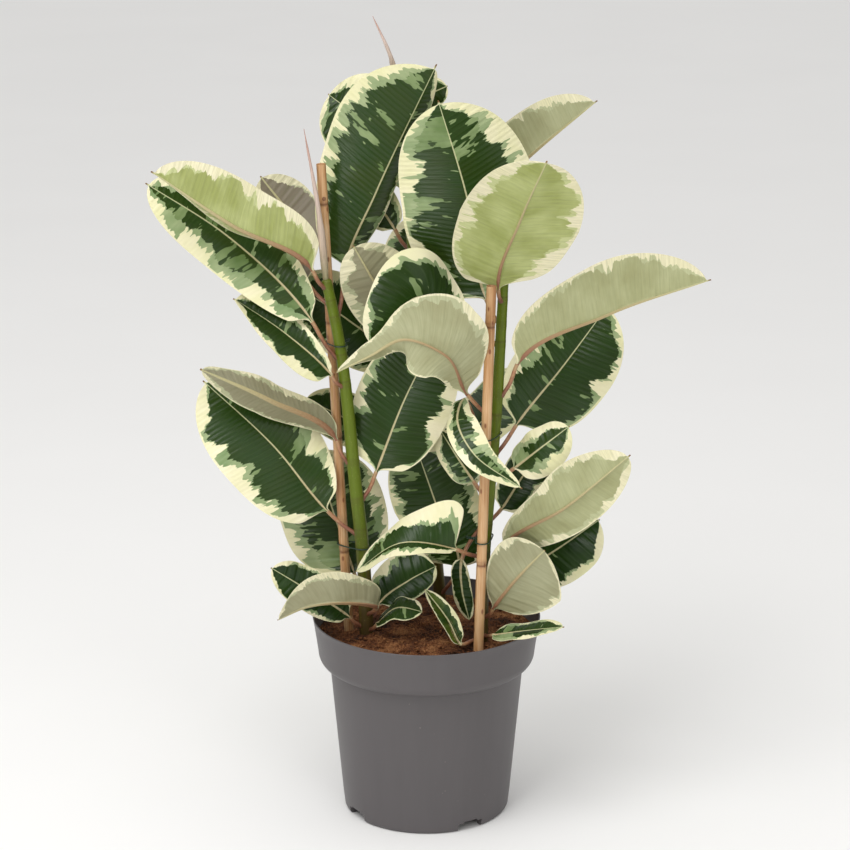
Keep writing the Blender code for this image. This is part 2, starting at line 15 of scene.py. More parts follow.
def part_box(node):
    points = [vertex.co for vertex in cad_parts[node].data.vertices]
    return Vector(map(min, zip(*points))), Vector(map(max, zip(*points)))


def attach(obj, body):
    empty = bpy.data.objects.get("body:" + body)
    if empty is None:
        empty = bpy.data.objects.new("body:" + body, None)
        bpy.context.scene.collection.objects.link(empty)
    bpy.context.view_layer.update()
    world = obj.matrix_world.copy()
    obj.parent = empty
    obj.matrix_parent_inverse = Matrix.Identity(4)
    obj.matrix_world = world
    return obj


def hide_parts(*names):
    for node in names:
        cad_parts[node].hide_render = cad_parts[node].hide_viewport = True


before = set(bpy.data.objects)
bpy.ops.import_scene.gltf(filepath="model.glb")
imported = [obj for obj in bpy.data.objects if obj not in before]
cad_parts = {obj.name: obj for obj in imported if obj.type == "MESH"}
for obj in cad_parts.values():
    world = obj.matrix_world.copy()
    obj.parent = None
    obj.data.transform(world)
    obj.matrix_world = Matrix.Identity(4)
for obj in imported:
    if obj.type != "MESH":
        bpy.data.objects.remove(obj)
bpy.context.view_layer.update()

bl_info = {
    "name": "Potted rubber plant",
    "version": (1, 0, 0),
    "blender": (4, 5, 0),
    "location": "3D View > Sidebar > Rubber plant",
    "description": "Builds the visible pieces of a variegated rubber plant in a nursery pot",
    "category": "Add Mesh",
}

MM = 0.001
POT_LOW, POT_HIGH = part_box("pot")
SOIL_LOW, SOIL_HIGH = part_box("soil")
POT_HEIGHT = POT_HIGH.z
SOIL_TOP = POT_HEIGHT - 19 * MM

# Stems: radius at the soil and at the top, and the centreline as (x, y, height above the soil) in mm.
STEMS = {
    "left": (8.0, 5.5, [(-64, -7, -60), (-64, -7, 0), (-67, -7, 85), (-76, -6, 180), (-83, -5, 260),
                        (-91, -4, 325), (-103, -3, 385)]),
    "right": (7.5, 5.0, [(58, -30, -60), (58, -30, 0), (60, -29, 90), (65, -28, 160), (73, -26, 265),
                         (77, -25, 350), (79, -24, 392)]),
    "back": (7.0, 4.5, [(15, 62, -60), (15, 62, 0), (6, 62, 115), (-3, 62, 240), (-11, 61, 350),
                        (-19, 60, 455), (-29, 60, 575)]),
}

# Canes: radius, and the two ends as (x, y, height above the soil) in mm.
CANES = {
    "left": (5.2, [(-77, 2, -120), (-108, 11, 506)]),
    "right": (5.4, [(51, -56, -120), (66, -46, 392)]),
}

# Ties: heights above the soil in mm, for the stem and cane of the same name.
TIES = {"left": (97, 318), "right": (118, 230)}

# Bud sheaths, one on each stem's tip, as (length, lean x, lean y, radius) in mm.
BUDS = {"left": (158, -21, 0, 4.0), "right": (45, 6, 2, 3.4), "back": (73, -26, 0, 3.2)}

# Leaves, from the soil up. Each is (name, stem, height of its node above the soil, route, left, right, bow):
# the route runs from the blade's base to its tip, as offsets in mm from the node; left and right are the
# chords of the two half blades at the widest place, from midrib to margin; bow is how far each half turns,
# in degrees, where a minus sign bends the margins down. A list of chords turns the blade along its length.
LEAVES = [
    ("left_01", "left", 6, [(12, -15, 10), (35, -27, 33), (60, -32, 30)], (5, 15, 6), (-5, -15, -8), -20),
    ("left_02", "left", 10, [(-18, -10, 12), (-60, -14, 43), (-100, -14, 69)],
     (-8, -12, -16), (10, 14, 16), -20),
    ("left_03", "left", 16, [(14, 6, 14), (45, 14, 38), (75, 22, 52)], (-18, 18, 20), (10, -15, -12), -20),
    ("left_04", "left", 24, [(12, -24, 14), (-25, -45, 28), (-60, -47, 24), (-92, -45, 8)],
     [(0, -9, 34), (0, -9, 36), (0, -6, 14)], [(0, 9, 30), (0, 9, 30), (0, 6, 12)], -10),
    ("left_05", "left", 40, [(-12, 20, 20), (-35, 45, 82), (-55, 52, 150)], (-55, 0, -15), (55, 5, 10), -15),
    ("left_06", "left", 113, [(-35, -2, 25), (-90, 0, 95), (-165, 25, 160)], (-40, -25, -35),
     [(32, 0, 28), (35, 20, 26), (35, 25, 25)], -20),
    ("left_07", "left", 149, [(20, 5, 30), (50, 20, 105), (85, 25, 175)], (-45, 5, 20), (45, -5, -20), -20),
    ("left_08", "left", 191, [(-17, -3, 25), (-85, -28, 76), (-155, -40, 113)],
     [(10, 10, 14), (6, 30, 8), (6, 38, 2)], (-6, 22, -24), -20),
    ("left_09", "left", 275, [(-14, -12, 14), (-60, -6, 56), (-115, 4, 92)],
     [(-16, -22, -22), (-10, -24, -12), (0, -20, -4)], [(7, -2, 8), (12, 8, 15), (15, 18, 24)], -20),
    ("left_10", "left", 304, [(-30, -4, 40), (-115, 20, 123), (-200, 15, 182)], (-25, -15, -25),
     [(15, 6, 24), (25, 20, 26), (25, 25, 25)], -20),
    ("left_11", "left", 345, [(10, 28, 48), (42, 38, 125), (105, 36, 260)],
     [(-46, 10, 10), (-60, 10, 22), (-84, 6, 52)], (16, 20, -8), -20),
    ("left_12", "left", 362, [(-25, 10, 20), (-40, 68, 70), (-76, 88, 115)],
     [(14, 8, 8), (24, 10, 16), (28, 10, 18)], (-30, 10, -20), -20),
    ("left_13", "left", 380, [(-15, -10, 20), (-95, -30, 72), (-175, -40, 130)],
     (25, 15, 35), (-8, 42, -12), -20),
    ("right_01", "right", 4, [(-22, -30, 4), (-35, -25, 28), (-60, -10, 58)], (-5, 5, -8), (8, 6, 5), 60),
    ("right_02", "right", 8, [(12, -20, 6), (40, -35, 16), (85, -50, 27)], (0, 20, 2), (0, -16, -2), -20),
    ("right_03", "right", 29, [(12, -12, 12), (42, -26, 58), (65, -20, 80)],
     [(22, 3, -44), (32, 4, -42), (30, 4, -34)], [(-10, 2, 16), (-27, 2, 26), (-28, 2, 26)], -20),
    ("right_04", "right", 52, [(35, 30, 10), (85, 40, 40), (125, 40, 70)],
     (-15, 20, 25), (20, -10, -30), -20),
    ("right_05", "right", 84, [(20, 0, 20), (85, -20, 72), (150, -30, 132)], (22, 0, -22),
     [(-10, 3, 14), (-15, 4, 24), (-23, 5, 32), (-20, 5, 28)], -20),
    ("right_06", "right", 95, [(-30, -22, 15), (-85, -30, 25), (-135, -10, -14)],
     [(0, -14, -4), (-3, -20, -6), (0, -14, -6)], [(34, 8, 90), (6, 22, 30), (0, 26, 12), (0, 18, 6)], -20),
    ("right_07", "right", 126, [(-25, 5, -36), (-25, 6, -70), (-17, 2, -104)], (9, 0, 4), (-10, 8, 0), -10),
    ("right_08", "right", 130, [(16, 36, 4), (46, 46, 48), (82, 54, 86)], (-16, 6, 14), (16, -6, -20), -20),
    ("right_09", "right", 157, [(-15, 30, 10), (-30, 40, 30), (-50, 50, 60)],
     (-15, 0, -10), (15, 10, 10), -20),
    ("right_10", "right", 178, [(25, 10, 10), (50, 5, 32), (82, 4, 58)], (-10, 12, 14), (12, -8, -24), -20),
    ("right_11", "right", 205, [(25, 25, 25), (74, 55, 80), (122, 65, 145)],
     (-40, 10, 25), (44, -10, -28), -20),
    ("right_12", "right", 218, [(-30, 6, 46), (-38, -24, 34), (-22, -58, 8), (28, -64, -28)],
     [(14, 8, 4), (17, 7, 11), (9, 3, 8)], [(-14, 5, -4), (-8, -8, -12), (-4, -7, -8)], -10),
    ("right_13", "right", 246,
     [(-30, -16, 30), (-55, -46, 82), (-95, -46, 97), (-130, -38, 77), (-165, -30, 57)],
     [(30, 0, 22), (42, -2, 46), (6, 0, 22), (0, 0, 9)],
     [(-20, 0, -10), (-12, -4, -32), (0, 18, -14), (0, 14, -4)], -10),
    ("right_14", "right", 270, [(20, -5, 35), (110, -15, 90), (215, -25, 130)],
     (5, 45, -5), [(-10, -5, 38), (-15, -5, 52), (-15, -5, 52)], -20),
    ("right_15", "right", 324, [(-42, 14, 22), (-80, 5, 50), (-135, -5, 0)],
     (0, 10, -45), (-10, 10, 48), -20),
    ("right_16", "right", 345, [(-15, 25, 20), (-35, 35, 125), (-65, 45, 225)],
     (-70, 15, 0), (70, 15, 15), -15),
    ("right_17", "right", 371, [(-5, -12, 15), (15, -50, 95), (40, -90, 165)], (65, 0, 5), (-65, 0, -5), -15),
    ("back_01", "back", 22, [(20, -25, 35), (-5, -35, 115), (-30, -35, 190)], (-50, 0, 10), (45, 0, 10), -20),
    ("back_02", "back", 95, [(10, 25, 20), (12, 80, 52), (8, 140, 72)], (-42, 0, 0), (42, 0, 0), -20),
    ("back_03", "back", 150, [(20, 20, 20), (75, 55, 65), (120, 95, 100)], (-30, 35, 5), (30, -35, 0), -20),
    ("back_04", "back", 182, [(-30, -15, 15), (-85, -15, 40), (-130, -20, 65)],
     (-10, -5, -25), (10, 5, 25), -20),
    ("back_05", "back", 250, [(-20, -5, 25), (-80, -8, 80), (-140, -8, 120)],
     (-20, -10, -35), (20, 20, 30), -20),
    ("back_06", "back", 277, [(-8, -25, 40), (-40, -48, 90), (-70, -58, 145)],
     (30, 10, 30), (-29, 0, -22), -20),
    ("back_07", "back", 300, [(0, 25, 25), (10, 75, 75), (15, 125, 115)], (-50, 5, 0), (50, 5, 5), -20),
    ("back_08", "back", 404, [(-18, 6, 20), (-40, 8, 52), (-66, 8, 86)], (-16, 0, -16), (14, 3, 16), -20),
    ("back_12", "back", 395, [(50, 12, 34), (118, 18, 101), (192, 22, 163)], (6, 50, 4), (-28, 5, 32), -20),
    ("back_09", "back", 445, [(-8, 28, 18), (-25, 80, 60), (-40, 135, 85)], (-45, -15, 5), (45, 15, 0), -20),
    ("back_10", "back", 483, [(-15, 14, 25), (-48, 35, 53), (-82, 52, 76)], (-28, -5, -35), (28, 0, 38), -20),
    ("back_11", "back", 531, [(8, 4, 12), (27, 8, 35), (47, 8, 45)], (-5, 5, 15), (5, 0, -15), -20),
]

# How each leaf looks: first its age and underside light, from -1 (a browned underside, painted shade for
# undersides that sit in shadow) to 1 (a young, paler leaf whose underside also carries painted light shining
# through the blade), then the cream margin and the patches, each from 0 to 1.
COMMON_LOOK = (0.1, 0.40, 0.55)
LEAF_LOOKS = {
    "left_01": (0.1, 0.15, 0.2), "left_02": (0.0, 0.15, 0.3), "left_03": (0.0, 0.2, 0.3),
    "left_04": (-0.3, 0.12, 0.3), "left_05": (0.1, 0.5, 0.6), "left_06": (0.15, 0.55, 0.55),
    "left_08": (-0.55, 0.25, 0.5), "left_09": (0.1, 0.5, 0.4), "left_10": (0.2, 0.8, 0.9),
    "left_11": (0.2, 0.3, 0.6), "left_12": (-1.0, 0.05, 0.1), "left_13": (0.85, 0.35, 0.45),
    "right_01": (1.0, 0.0, 0.0), "right_02": (0.0, 0.7, 1.0), "right_03": (-0.15, 0.2, 0.2),
    "right_04": (0.0, 0.1, 0.2), "right_05": (0.25, 0.3, 0.5), "right_06": (0.1, 0.95, 0.6),
    "right_07": (0.0, 0.15, 0.2), "right_08": (0.0, 0.1, 0.2), "right_10": (0.2, 0.95, 0.7),
    "right_11": (0.1, 0.5, 0.6), "right_12": (0.1, 0.85, 0.9), "right_13": (0.05, 0.25, 0.4),
    "right_14": (0.25, 0.2, 0.4), "right_15": (0.1, 0.3, 0.5), "right_16": (0.15, 0.45, 0.9),
    "right_17": (0.95, 0.3, 0.5), "back_06": (-0.5, 0.6, 0.8), "back_10": (0.1, 0.6, 0.6),
    "back_12": (0.1, 0.2, 0.3),
}


def linear(hex_colour):
    """A linear colour from an sRGB hex value."""
    parts = [int(hex_colour[i:i + 2], 16) / 255 for i in (1, 3, 5)]
    return [c / 12.92 if c < 0.04045 else ((c + 0.055) / 1.055) ** 2.4 for c in parts] + [1.0]


def colour_setting(name, description, hex_colour):
    """A colour that a user can change."""
    return FloatVectorProperty(name=name, description=description, subtype="COLOR", size=4, min=0, max=1,
                               default=linear(hex_colour))


def length_setting(name, description, default):
    """A length that a user can change, in metres."""
    return FloatProperty(name=name, description=description, unit="LENGTH", subtype="DISTANCE", precision=5,
                         default=default)


class PotSettings(bpy.types.PropertyGroup):
    """Sizes and colour of the nursery pot."""
    rim_radius: length_setting("Rim radius", "Outer radius at the lip", POT_HIGH.x)
    band_height: length_setting("Band height", "Height of the upright band under the lip", 0.050)
    band_low_radius: length_setting("Band low radius", "Outer radius at the band's lower end", 0.1152)
    body_top_radius: length_setting("Body top radius", "Outer radius of the body under the band", 0.1036)
    foot_radius: length_setting("Foot radius", "Outer radius at the base", 0.0885)
    wall: length_setting("Wall", "Wall thickness", 0.0018)
    colour: colour_setting("Colour", "Taupe grey polypropylene", "#565253")


class SoilSettings(bpy.types.PropertyGroup):
    """Surface and colours of the peat."""
    lump: length_setting("Lump height", "Height of the soil's crumbs", 0.0022)
    bits: IntProperty(name="Bits", description="Number of loose bark and coir bits", default=900, min=0)
    dark: colour_setting("Dark", "Damp peat", "#1f110a")
    light: colour_setting("Light", "Dry coir fibre", "#6a3f24")


class StemSettings(bpy.types.PropertyGroup):
    """Bark of the stems."""
    ring_swell: FloatProperty(name="Ring swell", default=0.035, min=0, max=0.3,
                              description="How far a node stands out, as a share of the radius")
    young: colour_setting("Young bark", "Green bark near the top", "#5f7014")
    old: colour_setting("Old bark", "Brown bark near the soil", "#4e3f20")


class SheathSettings(bpy.types.PropertyGroup):
    """The rolled sheaths on the stems' tips."""
    colour: colour_setting("Colour", "Pale pink papery sheath", "#cdb8ac")


class CaneSettings(bpy.types.PropertyGroup):
    """The bamboo canes."""
    joint_gap: length_setting("Joint gap", "Distance between two joints of the bamboo", 0.105)
    colour: colour_setting("Colour", "Dry tan bamboo", "#cba274")


class TieSettings(bpy.types.PropertyGroup):
    """The wire ties round stem and cane."""
    wire: length_setting("Wire", "Radius of the coated wire", 0.0009)
    colour: colour_setting("Colour", "Dark green coating", "#16281c")


class LeafSettings(bpy.types.PropertyGroup):
    """Thickness, relief and colours of the leaves."""
    petiole: length_setting("Petiole", "Radius of the leaf stalk", 0.0021)
    blade: length_setting("Blade", "Thickness of the blade", 0.0009)
    edge: length_setting("Edge", "Thickness of the blade's margin", 0.0005)
    ripple: length_setting("Ripple", "Height of the ripples along the side veins", 0.00028)
    wave: length_setting("Wave", "Height of the slow waves in the margin", 0.0016)
    dark: colour_setting("Dark green", "Middle of the upper side", "#19300b")
    grey: colour_setting("Grey green", "Patches between green and cream", "#7d9463")
    cream: colour_setting("Cream", "Margin", "#efe8c4")
    under: colour_setting("Underside", "Middle of the lower side", "#9c9a74")
    stalk: colour_setting("Stalk", "Reddish leaf stalk and lower midrib", "#8a5844")


class StageSettings(bpy.types.PropertyGroup):
    """Floor and light of the studio."""
    key: FloatProperty(name="Key", description="Power of the overhead softbox, in watts", default=34, min=0)
    fill: FloatProperty(name="Fill", description="Power of the front softbox, in watts", default=10, min=0)
    low: FloatProperty(name="Low", description="Power of the low left softbox, in watts", default=10, min=0)
    sky: FloatProperty(name="Sky", description="Strength of the light from the dome", default=0.95, min=0)


def add(tree, kind, sockets=None, out=0, ramp=None, **settings):
    """Adds a shader node with its settings, ramp, values and links, and gives back one of its outputs."""
    made = tree.nodes.new("ShaderNode" + kind)
    for key, value in settings.items():
        setattr(made, key, value)
    if ramp:
        stops = made.color_ramp.elements
        while len(stops) < len(ramp):
            stops.new(0.5)
        for stop, (position, colour) in zip(stops, ramp):
            stop.position = position
            stop.color = colour
    known = {socket.identifier: socket for socket in made.inputs}
    for key, value in (sockets or {}).items():
        socket = known.get(key) or made.inputs[key]
        if isinstance(value, bpy.types.NodeSocket):
            tree.links.new(value, socket)
        else:
            socket.default_value = value
    return made.outputs[out]


# A Mix node that blends two colours: its factor is socket 0, its colours are sockets 6 and 7.
COLOUR_MIX = {"data_type": "RGBA", "out": 2}


def new_material(name):
    """An empty node material with its Principled shader: the material, its node tree and the shader."""
    made = bpy.data.materials.new(name)
    made.use_nodes = True
    return made, made.node_tree, made.node_tree.nodes["Principled BSDF"]


def show(name, bm, node, slot, *materials):
    """Makes the finished bmesh an object, which stands for a CAD node unless node is None."""
    mesh = bpy.data.meshes.new(name)
    bm.to_mesh(mesh)
    bm.free()
    for made_of in materials:
        mesh.materials.append(made_of)
    piece = bpy.data.objects.new(name, mesh)
    bpy.context.scene.collection.objects.link(piece)
    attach(piece, "root")
    if node:
        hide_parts(node)
    return piece


def smooth_route(points, share):
    """The point at a share of the way along a smooth curve through the points, and its direction."""
    spans = len(points) - 1
    place = min(max(share, 0.0), 1.0) * spans
    span = min(int(place), spans - 1)
    u = place - span
    b, c = points[span], points[span + 1]
    a = points[span - 1] if span > 0 else b * 2 - c
    d = points[span + 2] if span + 2 < len(points) else c * 2 - b
    before, length, after = (b - a).length, (c - b).length, (d - c).length
    m0 = ((b - a) * (length / before) + (c - b) * (before / length)) * (length / (before + length))
    m1 = ((c - b) * (after / length) + (d - c) * (length / after)) * (length / (length + after))
    at = (b * (2 * u**3 - 3 * u**2 + 1) + m0 * (u**3 - 2 * u**2 + u)
          + c * (3 * u**2 - 2 * u**3) + m1 * (u**3 - u**2))
    along = (b * (6 * u**2 - 6 * u) + m0 * (3 * u**2 - 4 * u + 1)
             + c * (6 * u - 6 * u**2) + m1 * (3 * u**2 - 2 * u))
    return at, along.normalized()


def above_soil(point):
    """A point given in mm, with its height above the soil, in metres from the origin."""
    return Vector((point[0] * MM, point[1] * MM, SOIL_TOP + point[2] * MM))


def route_at_height(points, height):
    """The share of the way along a rising route where it reaches a height above the soil, in mm."""
    low, high = 0.0, 1.0
    for _ in range(30):
        middle = (low + high) / 2
        if smooth_route(points, middle)[0].z < SOIL_TOP + height * MM:
            low = middle
        else:
            high = middle
    return low


def cane_point(name, height):
    """A cane's centre at a height above the soil, in mm."""
    low, high = [above_soil(p) for p in CANES[name][1]]
    return low.lerp(high, (SOIL_TOP + height * MM - low.z) / (high.z - low.z))


def soil_height(x, y):
    """The soil's lumpy surface, lower beside the pot wall."""
    out = math.hypot(x, y) / POT_HIGH.x
    broad = 0.0012 * math.sin(70 * x + 2) * math.sin(85 * y)
    small = 0.0008 * math.sin(150 * x) * math.sin(140 * y + 1)
    return SOIL_TOP + 0.004 * (1 - out * out) - 0.002 + broad + small


def sweep(bm, path, sides):
    """Draws a circle out along a path of (centre, direction, radius), and gives back its two end faces."""
    centre, along, radius = path[0]
    turn = along.to_track_quat("Z", "Y")
    now = Matrix.LocRotScale(centre, turn, Vector((radius, radius, radius)))
    ring = bmesh.ops.create_circle(bm, segments=sides, radius=1, matrix=now)["verts"]
    edges = list({edge for v in ring for edge in v.link_edges})
    first = list(edges)
    for centre, along, radius in path[1:]:
        turn = (turn @ Vector((0, 0, 1))).rotation_difference(along) @ turn
        after = Matrix.LocRotScale(centre, turn, Vector((radius, radius, radius)))
        grown = bmesh.ops.extrude_edge_only(bm, edges=edges)["geom"]
        ring = [item for item in grown if isinstance(item, bmesh.types.BMVert)]
        kept = set(ring)
        edges = [item for item in grown
                 if isinstance(item, bmesh.types.BMEdge) and kept.issuperset(item.verts)]
        bmesh.ops.transform(bm, matrix=after @ now.inverted(), verts=ring)
        now = after
    return bmesh.ops.holes_fill(bm, edges=first + edges, sides=0)["faces"]


def spun(profile, steps):
    """A solid of revolution about +Z from a profile that starts and ends on the axis."""
    bm = bmesh.new()
    verts = [bm.verts.new((r, 0, z)) for r, z in profile]
    edges = [bm.edges.new(pair) for pair in zip(verts, verts[1:])]
    bmesh.ops.spin(bm, geom=verts + edges, cent=(0, 0, 0), axis=(0, 0, 1), angle=2 * math.pi,
                   steps=steps, use_merge=True)
    bmesh.ops.remove_doubles(bm, verts=bm.verts, dist=1e-6)
    bmesh.ops.recalc_face_normals(bm, faces=bm.faces)
    return bm


def smooth(bm, sharp_degrees=180):
    """Smooth shading, with sharp edges above an angle."""
    for face in bm.faces:
        face.smooth = True
    if sharp_degrees < 180:
        limit = math.radians(sharp_degrees)
        for edge in bm.edges:
            edge.smooth = len(edge.link_faces) != 2 or edge.calc_face_angle(0) < limit


# ---- Pot ----

# The underside: a disc that stands on the floor, a raised channel with the drain holes, and the foot ring.
CENTRE_RADIUS = 0.046
CHANNEL_HEIGHT = 0.011
FOOT_WIDTH = 0.009
FOOT_CORNER = 0.004
FOOT_NOTCHES = 4
FIRST_NOTCH = -58  # degrees round from +X
DRAIN_HOLES = 8
DRAIN_RADIUS = 0.0045
LIP_RADIUS = 0.0008
POT_STEPS = 192


def pot_plastic(settings):
    """Injection-moulded polypropylene: even taupe grey with a fine matt grain and a soft, broad sheen."""
    made, tree, shader = new_material("pot_polypropylene_moulded")
    place = add(tree, "TexCoord", out="Object")
    clouds = add(tree, "TexNoise", {"Vector": place, "Scale": 9.0, "Detail": 3.0})
    streaks = add(tree, "Mapping", {"Vector": place, "Scale": (60, 60, 4)})
    flow = add(tree, "TexNoise", {"Vector": streaks, "Scale": 1.0, "Detail": 4.0, "Roughness": 0.6})
    tone = add(tree, "Math", {0: clouds, 1: flow}, operation="ADD")
    shade = add(tree, "MapRange", {"Value": tone, "From Min": 0.75, "From Max": 1.25, "To Min": 0.95,
                                   "To Max": 1.04})
    colour = add(tree, "VectorMath", {0: settings.colour[:3], "Scale": shade}, operation="SCALE")
    # Dust from the potting bench: pale specks, 1 to 2 mm across.
    specks = add(tree, "TexVoronoi", {"Vector": place, "Scale": 110.0})
    chosen = add(tree, "TexNoise", {"Vector": place, "Scale": 14.0})
    near = add(tree, "MapRange", {"Value": specks, "From Min": 0.10, "From Max": 0.06, "To Max": 1.0})
    some = add(tree, "MapRange", {"Value": chosen, "From Min": 0.60, "From Max": 0.66, "To Max": 0.35})
    dust = add(tree, "Math", {0: near, 1: some}, operation="MULTIPLY")
    mixed = add(tree, "Mix", {0: dust, 6: colour, 7: linear("#b3a99a")}, **COLOUR_MIX)
    tree.links.new(mixed, shader.inputs["Base Color"])
    # Spark-eroded mould grain, about 0.35 mm, drawn a little coarser than real so that it shows.
    grain = add(tree, "TexNoise", {"Vector": place, "Scale": 1700.0, "Detail": 2.0})
    bump = add(tree, "Bump", {"Height": grain, "Strength": 0.25, "Distance": 0.0002})
    tree.links.new(bump, shader.inputs["Normal"])
    rough = add(tree, "MapRange", {"Value": clouds, "From Min": 0.3, "From Max": 0.7, "To Min": 0.40,
                                   "To Max": 0.50})
    tree.links.new(rough, shader.inputs["Roughness"])
    shader.inputs["IOR"].default_value = 1.49
    return made


def pot_profile(settings):
    """The pot's section from the middle of the underside, round the lip and back to the axis inside."""
    band_low = POT_HEIGHT - settings.band_height
    rim, wall = settings.rim_radius, settings.wall
    low, body, foot = settings.band_low_radius, settings.body_top_radius, settings.foot_radius
    slope = (body - foot) / band_low
    outside = [(0, 0), (CENTRE_RADIUS, 0), (CENTRE_RADIUS + 0.003, CHANNEL_HEIGHT),
               (foot - FOOT_WIDTH - 0.001, CHANNEL_HEIGHT), (foot - FOOT_WIDTH, 0)]
    outside += [(foot - FOOT_CORNER + FOOT_CORNER * math.sin(a), FOOT_CORNER - FOOT_CORNER * math.cos(a))
                for a in [math.radians(15 * i) for i in range(7)]]
    outside += [(foot + slope * z, z) for z in (0.02, 0.05, 0.09, 0.13, band_low - 0.010)]
    # The band curves out from the body over a soft shoulder.
    start, end = band_low - 0.002, band_low + 0.012
    band = low + 0.0004
    for i in range(13):
        u = i / 12
        ease = math.sin(u * math.pi / 2) ** 0.9
        outside.append((body + (band - body) * ease, start + (end - start) * u ** 1.7))
    for u in (0.3, 0.6, 0.85):
        outside.append((band + (rim - 0.0006 - band) * u, end + (POT_HEIGHT - 0.003 - end) * u))
    lip = [(rim - LIP_RADIUS + LIP_RADIUS * math.cos(a), POT_HEIGHT - LIP_RADIUS + LIP_RADIUS * math.sin(a))
           for a in [math.radians(22.5 * i - 45) for i in range(9)]]
    floor_top = CHANNEL_HEIGHT + wall
    inside = [(rim - wall - 0.0004, POT_HEIGHT - 0.004), (low - wall, end), (body + 0.001 - wall, band_low),
              (body - wall, band_low - 0.006), (foot + 0.0008 - wall, floor_top), (0, floor_top)]
    return outside + lip + inside


def pot_cuts(foot):
    """What is cut from the pot: the foot ring's notches and the drain holes in the channel."""
    tools = bmesh.new()
    for i in range(FOOT_NOTCHES):
        turn = Matrix.Rotation(math.radians(FIRST_NOTCH + 360 / FOOT_NOTCHES * i), 4, "Z")
        # A notch is wide at the bottom, with a narrower step above.
        for width, height in ((0.029, 0.0085), (0.017, 0.0105)):
            box = bmesh.ops.create_cube(tools, size=1)["verts"]
            bmesh.ops.scale(tools, verts=box, vec=(0.022, width, height + 0.004))
            bmesh.ops.translate(tools, verts=box, vec=(foot - 0.004, 0, (height - 0.004) / 2))
            bmesh.ops.transform(tools, matrix=turn, verts=box)
    middle = (CENTRE_RADIUS + foot - FOOT_WIDTH) / 2 + 0.001
    for i in range(DRAIN_HOLES):
        angle = 2 * math.pi * (i + 0.5) / DRAIN_HOLES
        hole = bmesh.ops.create_cone(tools, cap_ends=True, segments=24, radius1=DRAIN_RADIUS,
                                     radius2=DRAIN_RADIUS, depth=0.02)["verts"]
        place = (middle * math.cos(angle), middle * math.sin(angle), CHANNEL_HEIGHT)
        bmesh.ops.translate(tools, verts=hole, vec=place)
    return tools


def build_pot(settings):
    """The nursery pot, with its notched foot ring and drain holes."""
    bm = spun(pot_profile(settings), POT_STEPS)
    tools = pot_cuts(settings.foot_radius)
    helper = bpy.data.objects.new("pot_cuts", bpy.data.meshes.new("pot_cuts"))
    tools.to_mesh(helper.data)
    tools.free()
    bpy.context.scene.collection.objects.link(helper)
    pot = show("nursery_pot", bm, "pot", "pot_plastic", pot_plastic(settings))
    holes = pot.modifiers.new("cuts", "BOOLEAN")
    holes.operation = "DIFFERENCE"
    holes.solver = "EXACT"
    holes.use_self = True
    holes.object = helper
    finished = bpy.data.meshes.new_from_object(pot.evaluated_get(bpy.context.evaluated_depsgraph_get()))
    pot.modifiers.clear()
    pot.data = finished
    bpy.data.objects.remove(helper, do_unlink=True)
    shaped = bmesh.new()
    shaped.from_mesh(finished)
    smooth(shaped, 35)
    shaped.to_mesh(finished)
    shaped.free()
    return pot


# ---- Soil ----

# The root ball's radius inside the pot's body and at its foot, and the height of its foot.
BALL_SHOULDER_RADIUS = 0.1005
BALL_FOOT_RADIUS = 0.0860
BALL_FOOT = 0.016
PEAT_RINGS = 96
PEAT_STEPS = 320
FIBRE_RADIUS = 0.00022
BITS_SEED = 11


def peat(settings, name, lightness):
    """Potting peat with coir: dull and crumbly, darker in the hollows and lighter and reddish on the crumbs.
    """
    made, tree, shader = new_material(name)
    place = add(tree, "TexCoord", out="Object")
    crumbs = add(tree, "TexNoise", {"Vector": place, "Scale": 420.0, "Detail": 5.0, "Roughness": 0.7})
    patches = add(tree, "TexNoise", {"Vector": place, "Scale": 38.0, "Detail": 2.0})
    tone = add(tree, "Math", {0: crumbs, 1: patches}, operation="ADD")
    middle = [(a + b) / 2 for a, b in zip(linear("#432614"), settings.dark)]
    colour = add(tree, "ValToRGB", {"Fac": add(tree, "Math", {0: tone, 1: lightness}, operation="SUBTRACT")},
                 ramp=[(0.25, settings.dark), (0.42, middle), (0.62, settings.light),
                       (0.80, linear("#9a6c45"))])
    tree.links.new(colour, shader.inputs["Base Color"])
    bump = add(tree, "Bump", {"Height": crumbs, "Strength": 0.8, "Distance": 0.001})
    tree.links.new(bump, shader.inputs["Normal"])
    shader.inputs["Roughness"].default_value = 0.95
    shader.inputs["Specular IOR Level"].default_value = 0.25
    return made


def crumble(x, y):
    """Height of the soil's crumbs over its smooth surface, from 0 to about 1."""
    coarse = noise.noise(Vector((x * 130, y * 130, 3.1)))
    fine = noise.noise(Vector((x * 330, y * 330, 7.7)))
    grit = noise.noise(Vector((x * 760, y * 760, 1.3)))
    return 0.45 + 0.35 * coarse + 0.3 * fine + 0.16 * grit


def build_peat(settings):
    """The root ball, with a crumbled top."""
    edge = SOIL_HIGH.x
    profile = [(edge * (i / PEAT_RINGS), SOIL_TOP) for i in range(PEAT_RINGS + 1)]
    profile += [(edge - 0.0025, SOIL_TOP - 0.010), (BALL_SHOULDER_RADIUS, SOIL_TOP - 0.036),
                (BALL_FOOT_RADIUS, BALL_FOOT), (0, BALL_FOOT)]
    bm = spun(profile, PEAT_STEPS)
    for v in bm.verts:
        if v.co.z > SOIL_TOP - 0.001:
            away = min((edge - math.hypot(v.co.x, v.co.y)) / 0.004, 1.0)
            rise = (crumble(v.co.x, v.co.y) - 0.5) * 2 * settings.lump * max(away, 0.25)
            v.co.z = soil_height(v.co.x, v.co.y) + rise
    smooth(bm)
    show("peat_surface", bm, "soil", "peat_soil", peat(settings, "peat_and_coir_crumbled", 0.42))


